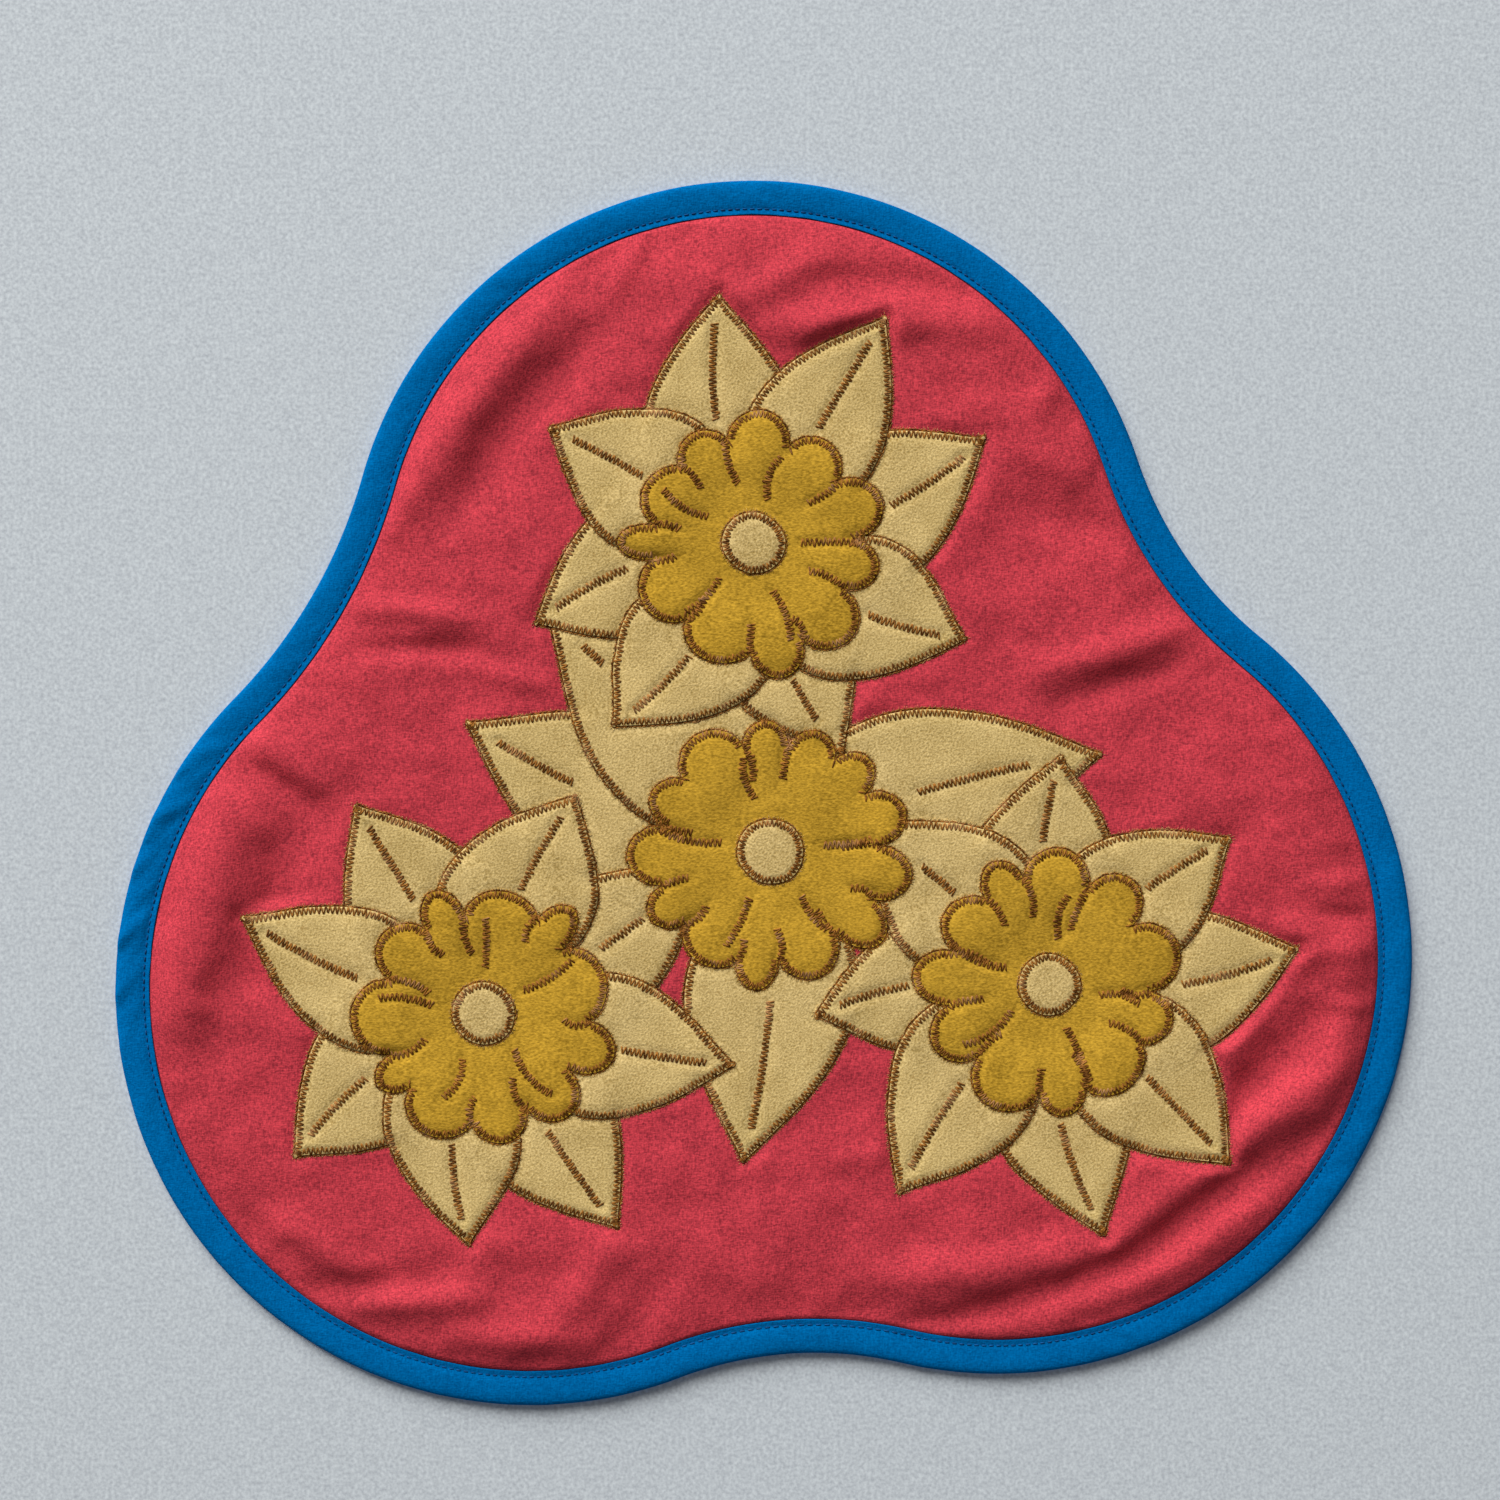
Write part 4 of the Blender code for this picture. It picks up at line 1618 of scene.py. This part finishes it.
@dataclass
class ThreadWork:
    """Stitches as short spindles of thread, all in one mesh.

    Each stitch rises out of its first needle hole, lies over the cloth and dives into the next.
    """

    name: str
    shares: tuple[float, ...] = (0.12, 0.5, 0.88)
    dive: float = 0.1
    flatness: float = 0.8
    starts: list[np.ndarray] = field(default_factory=list)
    ends: list[np.ndarray] = field(default_factory=list)
    radii: list[np.ndarray] = field(default_factory=list)
    lifts: list[np.ndarray] = field(default_factory=list)

    def add(self, starts: np.ndarray, ends: np.ndarray, radii: tuple[float, ...], lift: float) -> None:
        """Add a run of stitches.

        Args:
            starts: (n, 2) of places where a stitch comes up.
            ends: (n, 2) of places where it goes down.
            radii: The thread's radius at each ring of the spindle.
            lift: How far the thread's middle lies above the cloth.
        """
        self.starts.append(starts)
        self.ends.append(ends)
        self.radii.append(np.tile(radii, (len(starts), 1)))
        self.lifts.append(np.full(len(starts), lift))

    def build(
        self,
        surface: Callable[[np.ndarray], np.ndarray],
        material: bpy.types.Material,
        slot: str,
    ) -> bpy.types.Object:
        """Make the mesh of all stitches.

        Args:
            surface: Function from (n, 2) of places to their heights.
            material: The thread.
            slot: Not used.

        Returns:
            The new object.
        """
        starts = np.concatenate(self.starts)
        ends = np.concatenate(self.ends)
        radii = np.concatenate(self.radii)
        lifts = np.concatenate(self.lifts)
        run = ends - starts
        unit = run / np.maximum(np.linalg.norm(run, axis=1, keepdims=True), 1e-6)
        side = np.column_stack((-unit[:, 1], unit[:, 0]))
        count = len(starts)
        points = [to_row(starts, surface(starts) - self.dive)]
        for ring, share in enumerate(self.shares):
            middle = starts + run * share
            height = surface(middle) + lifts
            radius = radii[:, ring]
            for aside, up in ((1, 0), (0, 1), (-1, 0), (0, -1)):
                place = middle + side * (aside * radius)[:, None]
                points.append(to_row(place, height + self.flatness * up * radius))
        points.append(to_row(ends, surface(ends) - self.dive))
        places = np.stack(points, axis=1).reshape(-1, 3)
        base = np.arange(count)[:, None] * len(points)
        last = len(points) - 1
        caps = []
        sides = []
        for corner in range(4):
            beside = (corner + 1) % 4
            caps.append(base + np.array((0, 1 + beside, 1 + corner)))
            caps.append(base + np.array((last, last - 4 + corner, last - 4 + beside)))
            for ring in range(len(self.shares) - 1):
                low = 1 + 4 * ring
                high = low + 4
                side_corners = (low + corner, low + beside, high + beside, high + corner)
                sides.append(base + np.array(side_corners))
        faces = [np.concatenate(caps), np.concatenate(sides)]
        return make_piece(self.name, places, faces, material)


@dataclass(frozen=True)
class Zigzag:
    """Close machine zigzag: along an edge its points reach onto the felt, and outside it closes up.

    The stitches are 3.2 mm wide, with 1.6 mm from one point to the next.
    """

    half_pitch: float = 0.8
    outside: float = 0.55
    inside: float = 2.6
    seam_half_width: float = 1.55
    stray: float = 0.16
    stray_along: float = 0.6
    lift: float = 0.2
    edge_radii: tuple[float, ...] = (0.33, 0.27, 0.23)
    cord_radii: tuple[float, ...] = (0.22, 0.3, 0.22)
    seam_radii: tuple[float, ...] = (0.33, 0.28, 0.33)
    first_seed: int = 500

    def sew_edge(self, work: ThreadWork, relief: Relief, piece: Applied, number: int) -> None:
        """Sew round a piece wherever its edge isn't covered.

        Args:
            work: The thread work to add to.
            relief: The raster, which knows what lies on top.
            piece: The piece.
            number: Its number in the order of sewing.
        """
        path = evenly(piece.outline, self.half_pitch, True)
        path = path[:len(path) - len(path) % 2]
        out = outward(path, 2, True)
        chance = np.random.default_rng(self.first_seed + number)
        stray = chance.normal(0, self.stray, (len(path), 2))
        odd = np.arange(len(path)) % 2 == 1
        reach = np.where(odd, -self.inside, self.outside) + stray[:, 0]
        needles = path + out * reach[:, None]
        onward = np.column_stack((-out[:, 1], out[:, 0]))
        needles += onward * (stray[:, 1] * self.stray_along)[:, None]
        shown = relief.owner_at(path - out * SEWN_INSET) == number
        both = shown & np.roll(shown, -1)
        following = np.roll(needles, -1, axis=0)
        starts = np.where(odd[:, None], following, needles)[both]
        ends = np.where(odd[:, None], needles, following)[both]
        work.add(starts, ends, self.edge_radii, self.lift)
        # Outside the edge the stitches lie so close that they read as a cord.
        shown = both[::2]
        outer = needles[::2]
        beyond = np.roll(outer, -1, axis=0)
        work.add(outer[shown], beyond[shown], self.cord_radii, self.lift)

    def sew_seam(self, work: ThreadWork, path: np.ndarray, seed: int) -> None:
        """Sew an open seam, with both sides alike.

        Args:
            work: The thread work to add to.
            path: (n, 2) of places.
            seed: Seed of the stitches' small strays.
        """
        steps = evenly(path, self.half_pitch, False)
        out = outward(steps, 2, False)
        stray = np.random.default_rng(seed).normal(0, self.stray, len(steps))
        side = np.where(np.arange(len(steps)) % 2 == 1, 1.0, -1.0)
        needles = steps + out * (side * self.seam_half_width + stray)[:, None]
        work.add(needles[:-1], needles[1:], self.seam_radii, self.lift)


@dataclass(frozen=True)
class RawEdge:
    """Loose fibres of felt that stand out past the stitches."""

    spacing: float = 0.7
    start: float = 0.7
    reach: tuple[float, float] = (0.5, 1.5)
    radius: float = 0.09
    splay: float = 0.7
    root_height: float = 0.35
    tip_lift: tuple[float, float] = (0.1, 0.5)
    seed: int = 77

    def build(
        self, relief: Relief, pieces: list[Applied], felt: Felt, material: bpy.types.Material
    ) -> bpy.types.Object:
        """Make all fibres of one colour as thin spikes.

        Args:
            relief: The raster.
            pieces: All applied pieces in the order of sewing.
            felt: The colour.
            material: The finish.

        Returns:
            The new object.
        """
        chance = np.random.default_rng(self.seed)
        roots = []
        tips = []
        for number, piece in enumerate(pieces):
            if piece.felt is not felt:
                continue
            path = evenly(piece.outline, self.spacing, True)
            out = outward(path, 2, True)
            shown = relief.owner_at(path - out * SEWN_INSET) == number
            path = path[shown]
            out = out[shown]
            turn = chance.normal(0, self.splay, len(path))
            aim = np.column_stack(
                (
                    out[:, 0] * np.cos(turn) - out[:, 1] * np.sin(turn),
                    out[:, 0] * np.sin(turn) + out[:, 1] * np.cos(turn),
                )
            )
            root = path + out * self.start
            roots.append(root)
            tips.append(root + aim * chance.uniform(*self.reach, len(path))[:, None])
        root = np.concatenate(roots)
        tip = np.concatenate(tips)
        run = tip - root
        side = np.column_stack((-run[:, 1], run[:, 0]))
        side *= self.radius / np.maximum(np.linalg.norm(side, axis=1, keepdims=True), 1e-6)
        floor = relief.sample(relief.heights, root)
        tip_height = relief.sample(relief.heights, tip) + chance.uniform(*self.tip_lift, len(tip))
        points = np.stack(
            (
                to_row(root + side, floor),
                to_row(root, floor + self.root_height),
                to_row(root - side, floor),
                to_row(tip, tip_height),
            ),
            axis=1,
        )
        base = np.arange(len(root))[:, None] * 4
        corners = ((0, 1, 3), (1, 2, 3), (2, 0, 3), (0, 2, 1))
        faces = np.concatenate([base + np.array(corner) for corner in corners])
        name = f"{felt.name.lower()}_fibres"
        return make_piece(name, points.reshape(-1, 3), [faces], material)


@dataclass
class Quilt:
    """The whole quilt, from the cloth up."""

    edge: QuiltEdge = field(default_factory=QuiltEdge)
    relief: Relief = field(default_factory=Relief)
    zigzag: Zigzag = field(default_factory=Zigzag)
    seam_step: float = 0.5
    seam_clearance: float = 3.5
    shortest_seam: float = 6.0
    # A petal's vein stops this many steps short of what covers it.
    trim_steps: int = 4
    under_felt: float = 0.35
    first_seam_seed: int = 900
    running_radii: tuple[float, ...] = (0.26, 0.3, 0.26)
    bobbin_radii: tuple[float, ...] = (0.2, 0.24, 0.2)
    running_lift: float = 0.12

    def finishes(self) -> dict[str, bpy.types.Material]:
        """Make every cloth and thread.

        Returns:
            The materials by slot.
        """
        return {
            "red_cotton": WovenCotton(
                name="red_quilting_cotton",
                light="e74a56",
                dark="9b2e3a",
                roughness=0.8,
                sheen=0.06,
                sheen_tint="ff6070",
                specular=0.08,
            ).build(),
            "blue_binding": WovenCotton(
                name="blue_bias_cotton",
                light="0073b8",
                dark="005a96",
                roughness=0.8,
                sheen=0.0,
                sheen_tint="60b0e0",
                specular=0.0,
                turn_degrees=45.0,
                mottle=14.0,
            ).build(),
            "cream_felt": BrushedFelt(
                name="cream_brushed_felt",
                light="fadb95",
                dark="a18445",
                fleck="ab8746",
                tuft=(0.75, 0.75, 0.75),
            ).build(),
            "gold_felt": BrushedFelt(
                name="gold_brushed_felt",
                light="e8b63d",
                dark="8d6b1a",
                fleck="946d1a",
                tuft=(1.2, 0.75, 0.65),
                bump=(0.4, 0.5),
            ).build(),
            "brown_thread": SewingThread(
                name="brown_variegated_thread", light="b0742f", dark="5c3408", pale="dba874"
            ).build(),
            "blue_thread": SewingThread(
                name="navy_sewing_thread",
                light="0c5a96",
                dark="07406f",
                pale="0c5a96",
                shade_length=6.0,
            ).build(),
        }

    def trim_seams(self, pieces: list[Applied]) -> None:
        """Keep of each seam the longest stretch that nothing covers.

        Args:
            pieces: The applied pieces in the order of sewing.
        """
        for number, piece in enumerate(pieces):
            kept = []
            for seam in piece.seams:
                steps = evenly(seam, self.seam_step, False)
                side = outward(steps, 2, False) * self.seam_clearance
                shown = self.relief.owner_at(steps) == number
                if piece.felt is Felt.CREAM:
                    shown &= self.relief.owner_at(steps + side) == number
                    shown &= self.relief.owner_at(steps - side) == number
                edges = np.flatnonzero(np.diff(np.concatenate(([0], shown.astype(int), [0]))))
                runs = [(stop - start, start) for start, stop in zip(edges[::2], edges[1::2])]
                length, start = max(runs, default=(0, 0))
                trim = self.trim_steps if piece.felt is Felt.CREAM else 0
                if length * self.seam_step > self.shortest_seam + trim:
                    kept.append(steps[start + trim:start + length - trim])
            piece.seams = kept

    def sew(self, pieces: list[Applied], thread: bpy.types.Material) -> list[bpy.types.Object]:
        """Sew all edges, veins and cuts, one piece of thread work for each blossom.

        Args:
            pieces: The applied pieces in the order of sewing.
            thread: The thread.

        Returns:
            The thread work.
        """
        made = []
        for bloom in BLOOMS:
            work = ThreadWork(f"{bloom.name}_stitches")
            for number, piece in enumerate(pieces):
                if piece.node.startswith(f"{bloom.name}_"):
                    self.zigzag.sew_edge(work, self.relief, piece, number)
                    for index, seam in enumerate(piece.seams):
                        seed = self.first_seam_seed + 20 * number + index
                        self.zigzag.sew_seam(work, seam, seed)
            made.append(
                work.build(
                    lambda places: self.relief.sample(self.relief.heights, places),
                    thread,
                    "brown_thread",
                )
            )
        return made

    def sew_binding(self, binding: Binding, thread: bpy.types.Material) -> bpy.types.Object:
        """Sew the running stitch in the binding's groove.

        Args:
            binding: The binding.
            thread: The thread.

        Returns:
            The thread work.
        """
        path, out = self.edge.walk(binding.stitch_pitch)
        groove = path - out * binding.stitch_inset
        ahead = np.roll(groove, -1, axis=0) - groove
        half = binding.stitch_length / binding.stitch_pitch / 2
        work = ThreadWork("binding_stitches")
        height = binding.height_at(binding.stitch_inset)
        starts = groove - ahead * half
        ends = groove + ahead * half
        work.add(starts, ends, self.running_radii, self.running_lift)
        # The bobbin thread shows on the back, in a groove of its own.
        work.add(starts, ends, self.bobbin_radii, binding.back_stitch_height - height)
        return work.build(lambda places: np.full(len(places), height), thread, "blue_binding")

    def lay_pieces(
        self, pieces: list[Applied], finishes: dict[str, bpy.types.Material]
    ) -> None:
        """Make each applied piece's cloth.

        Args:
            pieces: The applied pieces in the order of sewing.
            finishes: The materials by slot.
        """
        for piece in pieces:
            face, under = self.relief.surface_of(piece, piece.points)
            places = np.concatenate((to_row(piece.points, face), to_row(piece.points, under)))
            count = len(piece.points)
            backs = [group[:, ::-1] + count for group in piece.faces]
            wall = ring_band(piece.rim + count, piece.rim)
            faces = [*piece.faces, *backs, wall]
            slot = piece.felt.value
            cloth = make_piece(piece.name, places, faces, finishes[slot])
            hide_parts(piece.node)
            piece.area()

    def build(self) -> None:
        """Make the whole quilt."""
        finishes = self.finishes()
        pieces = sorted(
            (piece for bloom in BLOOMS for piece in bloom.pieces()), key=lambda piece: piece.level
        )
        self.relief.place_pieces(pieces)
        self.trim_seams(pieces)
        self.relief.lay_cloth(self.edge, pieces, [bloom.centre() for bloom in BLOOMS])
        cloth = self.relief.heights.copy()
        for piece in pieces:
            self.relief.lay(piece)
        # Under the felt the panel lies a little lower, so that the two never share a face.
        covered = self.relief.owner >= 0
        ground = cloth - self.relief.pressed - self.under_felt * covered
        panel = Panel(self.edge, self.relief, ground).build(finishes["red_cotton"])
        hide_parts("ground")
        binding = Binding(self.edge)
        strip = binding.build(finishes["blue_binding"])
        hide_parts("binding")
        self.lay_pieces(pieces, finishes)
        stitches = self.sew(pieces, finishes["brown_thread"])
        stitches.append(self.sew_binding(binding, finishes["blue_thread"]))
        for felt in Felt:
            stitches.append(RawEdge().build(self.relief, pieces, felt, finishes[felt.value]))
        binding.length() * MM


@dataclass(frozen=True)
class SoftLight:
    """A soft rectangular light, its place and size in metres and its power in watts."""

    name: str
    place: tuple[float, float, float]
    size: tuple[float, float]
    watts: float

    def hang(self, aim: tuple[float, float, float]) -> None:
        """Hang the light and turn it to a place.

        Args:
            aim: The place that it faces.
        """
        data = bpy.data.lights.new(self.name, "AREA")
        data.shape = "RECTANGLE"
        data.size, data.size_y = self.size
        data.energy = self.watts
        light = bpy.data.objects.new(self.name, data)
        light.location = self.place
        toward = Vector(aim) - Vector(self.place)
        light.rotation_euler = toward.to_track_quat("-Z", "Y").to_euler()
        bpy.context.scene.collection.objects.link(light)


@dataclass(frozen=True)
class Studio:
    """The wall behind the quilt, the lights and the camera, in metres in the row frame."""

    aim: tuple[float, float, float] = (0.0, 0.0, -0.22)
    camera_place: tuple[float, float, float] = (-0.0009, -0.8885, -0.202)
    lens: float = 60.0
    fill: float = 0.15
    fill_colour: str = "fbfbff"
    wall_half: float = 3.0
    wall_gap: float = 0.0002
    # Daylight comes from above and the left. The second light shows the quilt's back.
    lights: tuple[SoftLight, ...] = (
        SoftLight("window_light", (-4.1, -5.2, 7.65), (8.7, 6.2), 1690.0),
        SoftLight("back_light", (0.3, 3.4, 0.1), (2.0, 2.0), 120.0),
    )

    def add_wall(self) -> None:
        """Stand the wall just behind the quilt."""
        half = self.wall_half
        sides = ((-half, -half), (half, -half), (half, half), (-half, half))
        mesh = bpy.data.meshes.new("wall")
        mesh.from_pydata([(x, self.wall_gap, z) for x, z in sides], [], [(0, 1, 2, 3)])
        mesh.materials.append(PaintedWall().build())
        wall = bpy.data.objects.new("wall", mesh)
        wall.visible_shadow = False
        bpy.context.scene.collection.objects.link(wall)

    def add_camera(self) -> None:
        """Set the camera square to the wall, as in the photograph."""
        data = bpy.data.cameras.new("camera")
        data.lens = self.lens
        data.sensor_width = 36.0
        camera = bpy.data.objects.new("camera", data)
        camera.location = self.camera_place
        camera.rotation_euler = (math.pi / 2, 0.0, 0.0)
        bpy.context.scene.collection.objects.link(camera)
        bpy.context.scene.camera = camera

    def build(self) -> None:
        """Set up the wall, the lights and the camera."""
        self.add_wall()
        for light in self.lights:
            light.hang(self.aim)
        world = bpy.data.worlds.new("daylight_fill")
        world.use_nodes = True
        background = world.node_tree.nodes["Background"]
        background.inputs["Color"].default_value = linear(self.fill_colour)
        background.inputs["Strength"].default_value = self.fill
        bpy.context.scene.world = world
        bpy.context.scene.view_settings.view_transform = "Standard"
        self.add_camera()


def main() -> None:
    """Dress the quilt and set up the studio."""
    logging.basicConfig(level=logging.INFO, format="%(name)s: %(message)s")
    Quilt().build()
    Studio().build()


if __name__ == "__main__":
    main()
